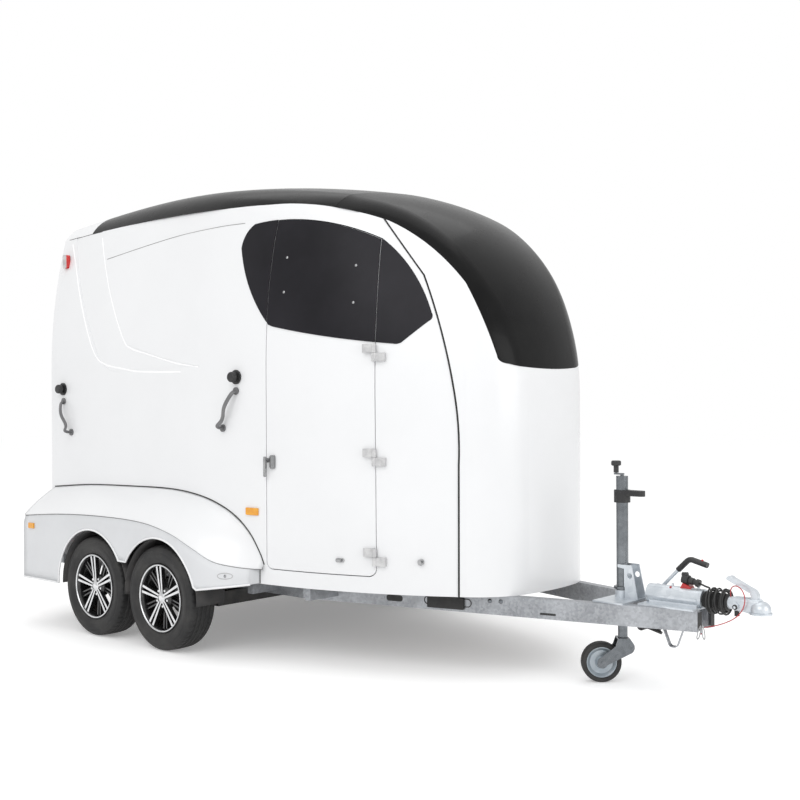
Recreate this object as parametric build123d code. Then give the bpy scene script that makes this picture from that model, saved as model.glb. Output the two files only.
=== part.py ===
from build123d import *
from math import asin, atan2, cos, degrees, pi, radians, sin, sqrt, tan
import os

os.makedirs("parts", exist_ok=True)

# Twin-axle horse trailer, parked on its jockey wheel. Millimetres, +X to the coupling, +Y to the
# left, +Z up from the ground. Places count from the front axle; save() moves every piece so that
# the origin is under the middle of the overall length.

# Driving sizes
WHEELBASE = 653            # front axle to rear axle
TYRE_D, TYRE_W = 596, 188
RIM_D = 372                # tyre bead
WHEEL_OUT = 218.5          # outer side of the tyre from the body's side
FENDER_OUT = 232.5         # outer side of the fender from the body's side
BODY_Z = 418               # lower edge of the body
REAR_X = -1440             # rear frame's outer face
HITCH_X = 3134             # front of the coupling head

WALL_T = 30                # sandwich wall and door
HALF_W = 887.5             # body half width
WHEEL_FACE_Y = HALF_W + WHEEL_OUT
FENDER_Y = HALF_W + FENDER_OUT
BEND_X = 372               # where the side starts to curve in
NOSE_X = 1939              # front of the body at its lower edge
FRONT_R, FRONT_A = 1420, 8.2   # gentle front arc and its half angle
CORNER_R = 409             # front corners
LEAN_Z, LEAN_R = 1620, 3400    # side leans in above this height, on this radius
RAKE_Z, RAKE_R = 1450, 1340    # nose rakes back above this height, on this radius

HOOD_T = 25                # moulded roof and hood
GAP = 5                    # gap round doors and the nose joint
SEAT = 0.3                 # clearance between pieces that touch

FRAME_X = 45               # depth of the rear frame
FRAME_W = 75               # width of its posts
SILL_H = 40                # rear sill above the body's lower edge
RAMP_TOP = 1880            # top of the ramp
FLAP_TOP = 2470            # top of the upper flap
RAMP_T = 50
FLOOR_Z, FLOOR_T = 430, 24

RAIL_H, RAIL_W = 100, 50   # chassis rails
RAIL_Y = 620               # rails under the body
HEAD_Y = 62                # rails at the drawbar's head
HEAD_X, KNEE_X = 2800, 700
RAIL_Z = BODY_Z            # top of the rails
OUTRIGGERS = (-1370, 500, 900)   # brackets from the rails to the walls
AXLE_TUBE = 80
HUB_R = 24                 # bore of the wheel's hub

JOCKEY_X, JOCKEY_Y = 2350, 0
JOCKEY_D, JOCKEY_W = 200, 60
JOCKEY_TURN = 42           # swivel angle as parked
JOCKEY_TRAIL = 110
JOCKEY_TUBE, JOCKEY_IN = 60, 48
JOCKEY_TOP = 1024
JOCKEY_LOW = 330           # lower end of the outer tube
FORK_TOP = 222             # top of the fork's crown

DOOR_REAR, DOOR_FRONT = 656, 1320
DOOR_BOTTOM = 502
HINGE_OUT = 16             # hinge axis outside the wall

AXLES = {"front": 0, "rear": -WHEELBASE}
SIDES = {"left": 1, "right": -1}
WHEEL_Z = TYRE_D / 2
MID_X = (REAR_X + HITCH_X) / 2


# Helpers
def box(x0, x1, y0, y1, z0, z1):
    return Pos((x0 + x1) / 2, (y0 + y1) / 2, (z0 + z1) / 2) * Box(x1 - x0, y1 - y0, z1 - z0)


def rod(start, end, r, hole=0):
    a, b = Vector(start), Vector(end)
    plane = Plane(origin=a, z_dir=b - a)
    face = Circle(r) - Circle(hole) if hole else Circle(r)
    return extrude(plane * face, amount=(b - a).length)


def outline(at, *steps):
    """Face from a start point and steps: a point is a straight line, a pair of points an arc."""
    edges, here = [], steps[0]
    for step in steps[1:] + (steps[0],):
        if isinstance(step[0], tuple):
            mid, end = step
            edges.append(ThreePointArc(at(*here), at(*mid), at(*end)))
            here = end
        elif (Vector(at(*here)) - Vector(at(*step))).length > 1e-6:
            edges.append(Line(at(*here), at(*step)))
            here = step
    return make_face(edges)


def side_face(*steps, y=0):
    return outline(lambda x, z: (x, y, z), *steps)


def end_face(*steps, x=0):
    return outline(lambda y, z: (x, y, z), *steps)


def plan_face(*steps, z=0):
    return outline(lambda x, y: (x, y, z), *steps)


def prism_y(y0, y1, *steps):
    return extrude(side_face(*steps, y=y0), amount=y1 - y0, dir=(0, 1, 0))


def prism_x(x0, x1, *steps):
    return extrude(end_face(*steps, x=x0), amount=x1 - x0, dir=(1, 0, 0))


def prism_z(z0, z1, *steps):
    return extrude(plan_face(*steps, z=z0), amount=z1 - z0, dir=(0, 0, 1))


def mirrored(shape):
    return mirror(shape, about=Plane.XZ)


def save(node, *shapes):
    solids = [s.moved(Location((-MID_X, 0, 0))) for shape in shapes for s in shape.solids()]
    export_step(solids[0] if len(solids) == 1 else Compound(children=solids), f"parts/{node}.step")
    print(f"{node:24s} solids {len(solids)}  volume {sum(s.volume for s in solids) / 1e6:9.2f} dm3/1000")


# The body's surface
def lean(z):
    return LEAN_R - sqrt(LEAN_R ** 2 - max(0, z - LEAN_Z) ** 2)


def rake(z):
    return RAKE_R - sqrt(RAKE_R ** 2 - max(0, z - RAKE_Z) ** 2)


def plan_arcs(z):
    """Arcs of the half outline at height z: front, corner and side centres, radii and angles."""
    b, nose, a = HALF_W - lean(z), NOSE_X - rake(z), radians(FRONT_A)
    fx = nose - FRONT_R
    cx, cy = fx + (FRONT_R - CORNER_R) * cos(a), (FRONT_R - CORNER_R) * sin(a)
    run, gap = cx - BEND_X, b - cy
    side_r = (run ** 2 + gap ** 2 - CORNER_R ** 2) / (2 * (gap - CORNER_R))
    return b, fx, (cx, cy), side_r, atan2(cy - b + side_r, run)


def half_width(x, z):
    """Half width of the body's outer face at x and height z."""
    b, fx, (cx, cy), side_r, turn = plan_arcs(z)
    if x <= BEND_X:
        return b
    if x <= cx + CORNER_R * cos(turn):
        return b - side_r + sqrt(side_r ** 2 - (x - BEND_X) ** 2)
    if x <= cx + CORNER_R * cos(radians(FRONT_A)):
        return cy + sqrt(CORNER_R ** 2 - (x - cx) ** 2)
    return sqrt(max(0, FRONT_R ** 2 - (x - fx) ** 2))


def body_face(z, inset, rear):
    """Body outline at height z, moved in by inset, closed at x = rear."""
    b, fx, (cx, cy), side_r, turn = plan_arcs(z)
    a, b = radians(FRONT_A), b - inset
    front_r, corner_r, side_ri = FRONT_R - inset, CORNER_R - inset, side_r - inset

    def on(centre_x, centre_y, r, angle):
        return (centre_x + r * cos(angle), centre_y + r * sin(angle))

    side_c = (BEND_X, b - side_ri)
    p0 = on(fx, 0, front_r, a)
    p1 = on(cx, cy, corner_r, turn)
    half = [((on(cx, cy, corner_r, (a + turn) / 2)), p1),
            ((on(*side_c, side_ri, (turn + pi / 2) / 2)), (BEND_X, b))]

    def flip(p):
        return (p[0], -p[1])

    back = [(flip(half[1][0]), flip(p1)), (flip(half[0][0]), flip(p0))]
    return plan_face((rear, -b), (BEND_X, -b), back[0], back[1], ((fx + front_r, 0), p0),
                     half[0], half[1], (rear, b), z=z)


UPPER = [RAKE_Z, 1650, 1850, 2050, 2200, 2330, 2430, 2530]   # heights of the upper sections


def body_solid(inset, rear, low=None):
    """Solid inside the body's surface, from its lower edge to above the roof's edge."""
    low = BODY_Z if low is None else low
    straight = extrude(body_face(low, inset, rear), amount=RAKE_Z - low)
    return straight + loft([body_face(z, inset, rear) for z in UPPER])


# Edge between the walls and the roof and hood, in side view, from the rear to the visor.
EDGE = [(REAR_X - 60, 2474), ((-420, 2525), (574, 2504)), ((964, 2461), (1274, 2367)),
        ((1526, 2199), (1691, 2019)), ((1790, 1813), (1848, 1640)), ((1861, 1612), (1885, 1600)),
        (1960, 1562)]


def circle_z(p, q, r, x, upper=True):
    """Height at x of the circle through three points given in side view."""
    (ax, az), (bx, bz), (cx, cz) = p, q, r
    d = 2 * (ax * (bz - cz) + bx * (cz - az) + cx * (az - bz))
    sa, sb, sc = ax * ax + az * az, bx * bx + bz * bz, cx * cx + cz * cz
    ux = (sa * (bz - cz) + sb * (cz - az) + sc * (az - bz)) / d
    uz = (sa * (cx - bx) + sb * (ax - cx) + sc * (bx - ax)) / d
    h = sqrt((ax - ux) ** 2 + (az - uz) ** 2 - (x - ux) ** 2)
    return uz + h if upper else uz - h


def edge_z(x):
    here = EDGE[0]
    for step in EDGE[1:]:
        end = step[1] if isinstance(step[0], tuple) else step
        if x <= end[0]:
            if isinstance(step[0], tuple):
                return circle_z(here, step[0], end, x)
            return here[1] + (end[1] - here[1]) * (x - here[0]) / (end[0] - here[0])
        here = end
    return here[1]


def above_edge(shift=0):
    """Everything above the roof's edge."""
    top, rear = 3000, EDGE[0][0]
    steps = [EDGE[0]] + EDGE[1:] + [(EDGE[-1][0] + 200, EDGE[-1][1]), (EDGE[-1][0] + 200, top), (rear, top)]
    return prism_y(-1200, 1200, *steps).moved(Location((0, 0, shift)))


def below_edge(shift=0):
    low, rear = 1000, EDGE[0][0]
    steps = [EDGE[0]] + EDGE[1:] + [(EDGE[-1][0] + 200, EDGE[-1][1]), (EDGE[-1][0] + 200, low), (rear, low)]
    return prism_y(-1200, 1200, *steps).moved(Location((0, 0, shift)))


# Side view outlines
SEAM = [(1704, BODY_Z - 20), (1706, 1083), ((1651, 1654), (1508, 2062)), ((1417, 2178), (1255, 2372)),
        (1190, 2460)]


def front_of_seam(shift):
    """Region ahead of the nose joint, moved forward by shift."""
    steps = SEAM + [(1190, 2900), (2100, 2900), (2100, SEAM[0][1])]
    return prism_y(-1200, 1200, *steps).moved(Location((shift, 0, 0)))


WINDOW_TOP = ((492, 2400), (880, 2392), (1276, 2268))
WINDOW = [(672, 1828), ((520, 2025), (410, 2270)), ((432, 2346), WINDOW_TOP[0]),
          (WINDOW_TOP[1], WINDOW_TOP[2]), ((1450, 2093), (1572, 1862)), ((1576, 1840), (1562, 1822)),
          (1450, 1722), ((1430, 1709), (1404, 1708)), ((1064, 1751), (700, 1818))]


def door_outline(inset):
    """Side view of the groom's door, moved in by inset."""
    i = inset
    rear, front, low = DOOR_REAR + i, DOOR_FRONT - i, DOOR_BOTTOM + i
    r = 45 - i
    k = r * (1 - sqrt(0.5))
    top = circle_z(*WINDOW_TOP, rear) - i
    return [(rear, low + r), ((rear + k, low + k), (rear + r, low)), (front - r, low),
            ((front - k, low + k), (front, low + r)), (front - 5, 1700),
            ((front - 15, 1985), (WINDOW_TOP[2][0] - i, WINDOW_TOP[2][1] - i)),
            ((960, circle_z(*WINDOW_TOP, 960) - i), (rear, top))]


def right_side(*steps):
    return prism_y(-1100, -300, *steps)


# Walls, nose, door and windows
WALL_REAR = REAR_X + FRAME_X + SEAT
outer = body_solid(0, WALL_REAR)
band = outer - body_solid(WALL_T, WALL_REAR - 50, BODY_Z - 1)
band = band - above_edge()
# A shallow swept recess at the rear and a ledge along the roof's edge are pressed into the sides.
RECESS = 4
SWEEP = [(-1330, 2560), ((-1160, 2150), (-960, 1785)), ((-845, 1640), (-600, 1602)), (112, 1614),
         ((-330, 1690), (-590, 1762)), ((-800, 2080), (-935, 2340)), (-1000, 2560)]
LEDGE = [(-935, 2352), ((-350, 2405), (361, 2416)), ((700, 2432), (1000, 2392)), (1120, 2420), (1000, 2600),
         (-1200, 2600)]
pressed = outer - body_solid(RECESS, WALL_REAR - 50, BODY_Z - 1)
for shape in (SWEEP, LEDGE):
    band = band - (pressed & prism_y(-1100, 1100, *shape))
nose_shell = band & front_of_seam(GAP / 2)
seals = band & (front_of_seam(-GAP / 2 + SEAT) - front_of_seam(GAP / 2 - SEAT))
sides = band - front_of_seam(-GAP / 2)
wall_right = sides & box(-2000, 2500, -1200, 0, 0, 3000)
wall_left = sides & box(-2000, 2500, 0, 1200, 0, 3000)

door_hole = right_side(*door_outline(0))
groom_door = wall_right & right_side(*door_outline(GAP))
wall_right = wall_right - door_hole

# Dark acrylic panels lie on the wall; each covers an opening that is smaller by a glued border.
PANEL_T, PANEL_LAP = 4, 45
skin = loft([body_face(z, -PANEL_T, WALL_REAR) for z in UPPER]) - loft([body_face(z, -SEAT / 3,
        WALL_REAR - 50) for z in UPPER])
window_face = side_face(*WINDOW, y=-1100)
window_right = skin & extrude(window_face, amount=800, dir=(0, 1, 0))
window_left = mirrored(window_right)
door_zone = right_side(*door_outline(GAP))
door_window = window_right & door_zone
quarters = (window_right - door_hole).solids()
quarter_rear = min(quarters, key=lambda s: s.center().X)
quarter_front = max(quarters, key=lambda s: s.center().X)

glass_hole = extrude(offset(window_face, -PANEL_LAP), amount=800, dir=(0, 1, 0))
groom_door = groom_door - (glass_hole & right_side(*door_outline(GAP + PANEL_LAP)))
wall_left = wall_left - mirrored(glass_hole)
wall_right = wall_right - (glass_hole - right_side(*door_outline(-PANEL_LAP)))

save("nose_shell", nose_shell)
save("nose_seals", seals)
save("wall_right", wall_right)
save("wall_left", wall_left)
save("groom_door", groom_door)
save("door_window", door_window)
save("fixed_windows", quarter_rear, quarter_front, window_left)

# Roof and hood
ROOF_TOP, ROOF_TOP_X, ROOF_R = 2732, -375, 6680      # crown line of the roof
NOSE_CX, NOSE_CZ, NOSE_R = 716, 1400, 1228           # crown line of the hood, round this centre
CAP_X, HOOD_X = -1150, 985                           # joints of the rear cap and the hood
SKIRT = 16                                           # sections run on below the edge, then are cut
VISOR_X, VISOR_Z = 1878, 1540                        # last hood section, under the visor's edge
# edge x, slope at the edge in degrees, half angle of the crown arc
ROOF_STATIONS = [(REAR_X - 20, 58, 11), (-650, 58, 11), (160, 58, 11), (HOOD_X, 56, 11)]
HOOD_STATIONS = [(HOOD_X, 56, 11), (1180, 54, 10.5), (1360, 51, 10), (1526, 47, 9.5), (1660, 43, 9),
                 (1755, 39, 8.8), (1825, 36, 8.4), (VISOR_X, 34, 8.2)]


def arch_arcs(half, rise, slope, crown):
    """Three-arc arch over a width: returns point(inset) giving top, joint, middle and end."""
    a, b = radians(crown), radians(slope)
    m11, m12, m21, m22 = sin(a), sin(b) - sin(a), 1 - cos(a), cos(a) - cos(b)
    det = m11 * m22 - m12 * m21
    big, small = (half * m22 - rise * m12) / det, (m11 * rise - m21 * half) / det

    def points(inset):
        c, s, mid = big - inset, small - inset, (a + b) / 2
        top = rise - inset
        join = (c * sin(a), top - c * (1 - cos(a)))
        cy, ch = join[0] - s * sin(a), join[1] - s * cos(a)
        return top, join, (cy + s * sin(mid), ch + s * cos(mid)), (cy + s * sin(b), ch + s * cos(b))

    return points


def roof_rise(x):
    return ROOF_TOP - (x - ROOF_TOP_X) ** 2 / (2 * ROOF_R) - edge_z(x)


def arch(section_x, slope, crown):
    """Closed arch section of the roof or hood at one place along the edge."""
    z = VISOR_Z if section_x == VISOR_X else edge_z(section_x)
    half = half_width(section_x, z)
    dx, dz = section_x - NOSE_CX, z - NOSE_CZ
    if section_x < HOOD_X:
        tilt, rise = pi / 2, roof_rise(section_x)
    else:
        tilt, rise = atan2(dz, dx), NOSE_R - sqrt(dx ** 2 + dz ** 2)
    points = arch_arcs(half, rise, slope, crown)
    top, join, mid, end = points(0)
    top_i, join_i, mid_i, end_i = points(HOOD_T)
    step = (cos(radians(slope)) * SKIRT, -sin(radians(slope)) * SKIRT)
    low, low_i = (end[0] + step[0], end[1] + step[1]), (end_i[0] + step[0], end_i[1] + step[1])

    def at(y, h):
        return (section_x + h * cos(tilt), y, z + h * sin(tilt))

    def flip(p):
        return (-p[0], p[1])

    return outline(at, flip(low), flip(end), (flip(mid), flip(join)), ((0, top), join), (mid, end), low,
                   low_i, end_i, (mid_i, join_i), ((0, top_i), flip(join_i)), (flip(mid_i), flip(end_i)),
                   flip(low_i))


roof_shell = loft([arch(*s) for s in ROOF_STATIONS]) - below_edge(SEAT)
hood_shell = loft([arch(*s) for s in HOOD_STATIONS]) - below_edge(SEAT)
wide = (-1200, 1200, 1400, 3100)
roof_cap = roof_shell - box(REAR_X - 100, WALL_REAR, *wide) - box(CAP_X - 1, 2200, *wide)
roof = roof_shell - box(REAR_X - 100, CAP_X + 1, *wide)
joint_tilt = atan2(edge_z(HOOD_X) - NOSE_CZ, HOOD_X - NOSE_CX)
joint = Plane(origin=(HOOD_X - 2, 0, edge_z(HOOD_X)), z_dir=(sin(joint_tilt), 0, -cos(joint_tilt)))
roof = split(roof, bisect_by=joint, keep=Keep.BOTTOM)
hood = hood_shell
save("roof_cap", roof_cap)
save("roof", roof)
save("hood", hood)

# Rear frame, ramp and flap
def leaned(z, inset):
    return HALF_W - lean(z) - inset


def flip(p):
    return (-p[0], p[1])


def rear_sides(inset, low, top):
    """Posts' outline in rear view: right side going up, and left side coming down."""
    mid = (LEAN_Z + top) / 2
    up = [(-HALF_W + inset, LEAN_Z), ((-leaned(mid, inset), mid), (-leaned(top, inset), top))]
    down = [(leaned(top, inset), top), ((leaned(mid, inset), mid), (HALF_W - inset, LEAN_Z))]
    return up, down


def rear_opening(inset, low, top):
    up, down = rear_sides(inset, low, top)
    return [(-HALF_W + inset, low)] + up + down + [(HALF_W - inset, low)]


def rear_whole(low):
    edge = edge_z(REAR_X)
    up, down = rear_sides(0, low, edge)
    _, join, mid, end = arch_arcs(leaned(edge, 0), roof_rise(REAR_X), *ROOF_STATIONS[0][1:])(0)
    top = (0, edge + roof_rise(REAR_X))
    join, mid = (join[0], join[1] + edge), (mid[0], mid[1] + edge)
    return [(-HALF_W, low)] + up + [(flip(mid), flip(join)), (top, join),
                                    (mid, down[0])] + down[1:] + [(HALF_W, low)]


frame = prism_x(REAR_X, REAR_X + FRAME_X, *rear_whole(BODY_Z))
opening = prism_x(REAR_X - 1, REAR_X + FRAME_X + 1, *rear_opening(FRAME_W, BODY_Z + SILL_H, FLAP_TOP))
rear_frame = frame - opening
save("rear_frame", rear_frame)

RAMP_LOW = BODY_Z + SILL_H + 6
SPLIT = 8
RAMP_X0 = REAR_X - 6
RAMP_SIDE = FRAME_W + 6


def rear_panel(low, top, t):
    """Panel between the frame's posts."""
    return prism_x(RAMP_X0, RAMP_X0 + t, *rear_opening(RAMP_SIDE, BODY_Z, FLAP_TOP - 6)) & box(
        RAMP_X0 - 1, RAMP_X0 + t + 1, -1000, 1000, low, top)


REAR_PIN, REAR_EYE = 8, 14
RAMP_AXIS = (RAMP_X0 - REAR_EYE - SEAT, RAMP_LOW)
FLAP_AXIS = (RAMP_X0 - REAR_EYE - SEAT, FLAP_TOP)


def rear_hinge(axis, y, up):
    """Strap hinge on the rear face: two fixed eyes with a pin, and the panel's eye between them."""
    x, z = axis
    eye = rod((x, y - 20, z), (x, y + 20, z), REAR_EYE) + box(x, RAMP_X0 - SEAT, y - 20, y + 20,
                                                              *sorted((z, z + up * 60)))
    eye -= rod((x, y - 90, z), (x, y + 90, z), REAR_PIN + SEAT)
    fixed = rod((x, y - 55, z), (x, y + 55, z), REAR_PIN)
    for side in (-1, 1):
        a, b = sorted((y + side * 21, y + side * 55))
        fixed += rod((x, a, z), (x, b, z), REAR_EYE) + box(x, REAR_X - SEAT, a, b, *sorted((z, z - up * 42)))
    return fixed, eye


RAMP_HINGES, FLAP_HINGES = (-600, -200, 200, 600), (-450, 450)
ramp_fixed, ramp_eyes = zip(*[rear_hinge(RAMP_AXIS, y, 1) for y in RAMP_HINGES])
flap_fixed, flap_eyes = zip(*[rear_hinge(FLAP_AXIS, y, -1) for y in FLAP_HINGES])
ramp = rear_panel(RAMP_LOW, RAMP_TOP - SPLIT / 2, RAMP_T)
flap = rear_panel(RAMP_TOP + SPLIT / 2, FLAP_TOP - 6, WALL_T)
save("ramp", ramp)
save("top_flap", flap)
save("rear_hinges_fixed", *ramp_fixed, *flap_fixed)
save("ramp_hinge_eyes", *ramp_eyes)
save("flap_hinge_eyes", *flap_eyes)

# Floor and chassis
floor = extrude(body_face(FLOOR_Z, WALL_T + SEAT, REAR_X + FRAME_X + SEAT), amount=FLOOR_T)
save("floor", floor)

rail_z0 = RAIL_Z - RAIL_H
RAIL_REAR = REAR_X + FRAME_X


def rail(sign):
    """One bent box rail: straight under the floor, then in to the drawbar's head."""
    path = Polyline((RAIL_REAR, sign * RAIL_Y, RAIL_Z - RAIL_H / 2),
                    (KNEE_X, sign * RAIL_Y, RAIL_Z - RAIL_H / 2),
                    (HEAD_X, sign * HEAD_Y, RAIL_Z - RAIL_H / 2))
    section = Plane(origin=(RAIL_REAR, sign * RAIL_Y, RAIL_Z - RAIL_H / 2), x_dir=(0, 1, 0),
                    z_dir=(1, 0, 0)) * Rectangle(RAIL_W, RAIL_H)
    return sweep(section, path=path, transition=Transition.RIGHT)


save("chassis_rails", *[rail(sign) for sign in SIDES.values()])



def rail_y(x):
    """Middle of the rail: straight under the body, then in to the drawbar's head."""
    return RAIL_Y if x < KNEE_X else HEAD_Y + (RAIL_Y - HEAD_Y) * (HEAD_X - x) / (HEAD_X - KNEE_X)


def half_rail(x):
    turn = atan2(RAIL_Y - HEAD_Y, HEAD_X - KNEE_X) if x > KNEE_X else 0
    return RAIL_W / 2 / cos(turn) + SEAT


def member(x, w, y_out, h):
    """Cross member between the rails, or an outrigger out to y_out, with its ends cut to the rails."""
    z = (RAIL_Z - h, RAIL_Z)
    if y_out is None:
        a, b = rail_y(x - w) - half_rail(x), rail_y(x + w) - half_rail(x)
        return prism_z(*z, (x - w, -a), (x + w, -b), (x + w, b), (x - w, a))
    a, b = rail_y(x - w) + half_rail(x), rail_y(x + w) + half_rail(x)
    return prism_z(*z, (x - w, a), (x + w, b), (x + w, y_out), (x - w, y_out))


cross = [member(x, 25, None, 80) for x in (-1370, -1000, -326, 320, 900)]
outrig = [member(x, 20, half_width(x + 20, BODY_Z) - WALL_T, 70) for x in OUTRIGGERS]
outrig += [mirrored(o) for o in outrig]
save("cross_members", *cross, *outrig)

# Axles and wheels
TUBE_Z = rail_z0 - AXLE_TUBE / 2 - SEAT
ARM_Y = HALF_W - 40
RIM_HALF = TYRE_W * 0.40
HUB_END = WHEEL_FACE_Y - TYRE_W / 2 + RIM_HALF - 30 - SEAT     # the stub ends inside the rim's hub
ARM_L = 150


def axle(x):
    tube_x = x + ARM_L
    half = ARM_Y - 20
    solid = box(tube_x - AXLE_TUBE / 2, tube_x + AXLE_TUBE / 2, -half, half, TUBE_Z - AXLE_TUBE / 2,
                TUBE_Z + AXLE_TUBE / 2)
    for sign in SIDES.values():
        arm = rod((tube_x, sign * half, TUBE_Z), (tube_x, sign * (ARM_Y + 20), TUBE_Z), 40)
        arm += prism_y(ARM_Y - 18, ARM_Y + 18, (tube_x + 30, TUBE_Z - 30), (tube_x + 30, TUBE_Z + 30),
                       (x - 32, WHEEL_Z + 32), (x - 32, WHEEL_Z - 32)) if sign > 0 else mirrored(
            prism_y(ARM_Y - 18, ARM_Y + 18, (tube_x + 30, TUBE_Z - 30), (tube_x + 30, TUBE_Z + 30),
                    (x - 32, WHEEL_Z + 32), (x - 32, WHEEL_Z - 32)))
        stub = rod((x, sign * (ARM_Y - 18), WHEEL_Z), (x, sign * HUB_END, WHEEL_Z), HUB_R - SEAT)
        drum = rod((x, sign * (ARM_Y + 22), WHEEL_Z), (x, sign * (ARM_Y + 90), WHEEL_Z), 110)
        solid += arm + stub + drum
    return solid


for name, x in AXLES.items():
    save(f"axle_{name}", axle(x))


def tyre_shape():
    """Tyre about the Y axis, outer side towards +Y, with four grooves round the tread."""
    r, rb, w = TYRE_D / 2, RIM_D / 2, TYRE_W
    profile = outline(lambda y, z: (0, y, z), (-w * 0.40, rb), (-w * 0.40, rb + 11),
                      ((-w * 0.5, (r + rb) / 2), (-w * 0.43, r - 22)),
                      ((-w * 0.405, r - 7), (-w * 0.34, r - 3)), ((0, r), (w * 0.34, r - 3)),
                      ((w * 0.405, r - 7), (w * 0.43, r - 22)), ((w * 0.5, (r + rb) / 2),
                                                                 (w * 0.40, rb + 11)),
                      (w * 0.40, rb))
    tyre = revolve(profile, axis=Axis.Y)
    for y in (-42, -14, 14, 42):
        groove = outline(lambda a, b: (0, a, b), (y - 4, r - 9), (y + 4, r - 9), (y + 5, r + 3),
                         (y - 5, r + 3))
        tyre -= revolve(groove, axis=Axis.Y)
    return tyre


SPOKES = 5


def rim_shape():
    """Alloy wheel about the Y axis: barrel, hub and five pairs of spokes at its outer side."""
    rb, w = RIM_D / 2, TYRE_W
    lip = RIM_D / 2 + 9
    half = RIM_HALF
    side = half + SEAT
    barrel = outline(lambda y, z: (0, y, z), (-side - 8, lip), (-side, lip), (-side, rb - SEAT),
                     (side, rb - SEAT),
                     (side, lip), (side + 8, lip), (side + 9, rb - 6), (side - 10, rb - 16), (-side + 12,
                             rb - 18),
                     (-side - 8, rb - 4))
    barrel = revolve(barrel, axis=Axis.Y)
    hub = revolve(outline(lambda y, z: (0, y, z), (half - 62, HUB_R), (half - 62, 66), (half - 20, 66),
                          (half - 8, 58),
                                                     (half - 6, 34), (half - 16, HUB_R)), axis=Axis.Y)
    spoke = extrude(outline(lambda x, z: (x, half - 30, z), (-20, 55), (-30, rb - 12), (-9, rb - 12),
                            (-5, 62),
                            (5, 62), (9, rb - 12), (30, rb - 12), (20, 55)), amount=22, dir=(0, 1, 0))
    solid = barrel + hub
    for i in range(SPOKES):
        solid += spoke.rotate(Axis.Y, i * 360 / SPOKES)
    return solid + rod((0, half - 30, 0), (0, half - 4, 0), HUB_R)


WHEEL_C = WHEEL_FACE_Y - TYRE_W / 2
tyre, rim = tyre_shape(), rim_shape()
for name, x in AXLES.items():
    for side, sign in SIDES.items():
        place = Location((x, WHEEL_C, WHEEL_Z))
        for kind, shape in (("tyre", tyre), ("rim", rim)):
            one = shape.moved(place)
            save(f"{kind}_{name}_{side}", one if sign > 0 else mirrored(one))

# Fenders
FENDER_T = 8
ARCH_R = 343
ARCH_TAB = 480
# x, height of the seam on the wall, shoulder's height, how far it is tucked in, lower edge's height
FENDER_STATIONS = [(-1400, 852, 690, 0, 288), (-1000, 882, 722, 0, 288), (-573, 894, 737, 0, 288),
                   (-150, 897, 728, 0, 288), (110, 872, 684, 0, 288), (300, 825, 620, 2, 372),
                   (440, 762, 552, 40, 398), (545, 675, 525, 112, 412), (620, 560, 512, 197, 424)]
LIP = 9                     # the upper panel's lip over the lower panel
BULGE = 8                   # the lower panel stands out past the shoulder by this


def fender_face(x, seam, shoulder, tuck, low, inset):
    wall = half_width(x, BODY_Z + 60) - 20
    side, i = FENDER_Y - tuck, inset
    shoulder_y = side - BULGE
    crown = ((wall + shoulder_y) / 2 + 16 - i * 0.6, (seam + shoulder) / 2 + 22 - i)
    return end_face((wall, low - i * 3), (wall, seam - i * 1.2),
                    (crown, (shoulder_y - i * 1.4, shoulder - i * 1.2)),
                    (shoulder_y - LIP - i, shoulder - 7 - i * 1.2), (side - i,
                                                                     shoulder - 60 - i), (side - i,
                                                                             low - i * 3), x=x)


fender = loft([fender_face(*s, 0) for s in FENDER_STATIONS], ruled=True)
first, last = FENDER_STATIONS[0], FENDER_STATIONS[-1]
inside = [(first[0] + FENDER_T, *first[1:])] + FENDER_STATIONS[1:-1] + [(last[0] - FENDER_T, *last[1:])]
hollow = loft([fender_face(*s, FENDER_T) for s in inside], ruled=True)
fender = fender - hollow
arches = prism_y(HALF_W - 50, FENDER_Y + 50, (AXLES["rear"] - ARCH_R, 0), (AXLES["rear"] - ARCH_R, WHEEL_Z),
                 ((AXLES["rear"], WHEEL_Z + ARCH_R),
                  (AXLES["rear"] + sqrt(ARCH_R ** 2 - (ARCH_TAB - WHEEL_Z) ** 2), ARCH_TAB)),
                 (-sqrt(ARCH_R ** 2 - (ARCH_TAB - WHEEL_Z) ** 2), ARCH_TAB), ((0, WHEEL_Z + ARCH_R),
                         (ARCH_R, WHEEL_Z)), (ARCH_R, 0))
fender = max((fender - arches - body_solid(0, REAR_X - 100)).solids(), key=lambda f: f.volume)
save("fender_left", fender)
save("fender_right", mirrored(fender))

# Door fittings
HINGE_ZS = (607, 1122, 1663)
HINGE_X = DOOR_FRONT - GAP / 2
HINGE_Y = -(half_width(HINGE_X, 700) + HINGE_OUT)
tangent = asin((HINGE_X - BEND_X) / plan_arcs(700)[3])


PIN_R, KNUCKLE_R = 6, 12


def hinge_leaf(z, along, width, low, high):
    """A hinge block on the curved wall, on one side of the pin, with its knuckle round the pin."""
    block = box(min(0, along * width), max(0, along * width), 0, HINGE_OUT + 24, low, high)
    block -= box(-KNUCKLE_R - 1, KNUCKLE_R + 1, -20, HINGE_OUT + 40, low - 1, high + 1)
    arm = box(min(0, along * width), max(0, along * width), -4, 8, low, high)
    block = (block + arm).rotate(Axis.Z, degrees(tangent)).moved(Location((HINGE_X, HINGE_Y, 0)))
    knuckle = rod((HINGE_X, HINGE_Y, low), (HINGE_X, HINGE_Y, high), KNUCKLE_R)
    return block - outer + knuckle


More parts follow.
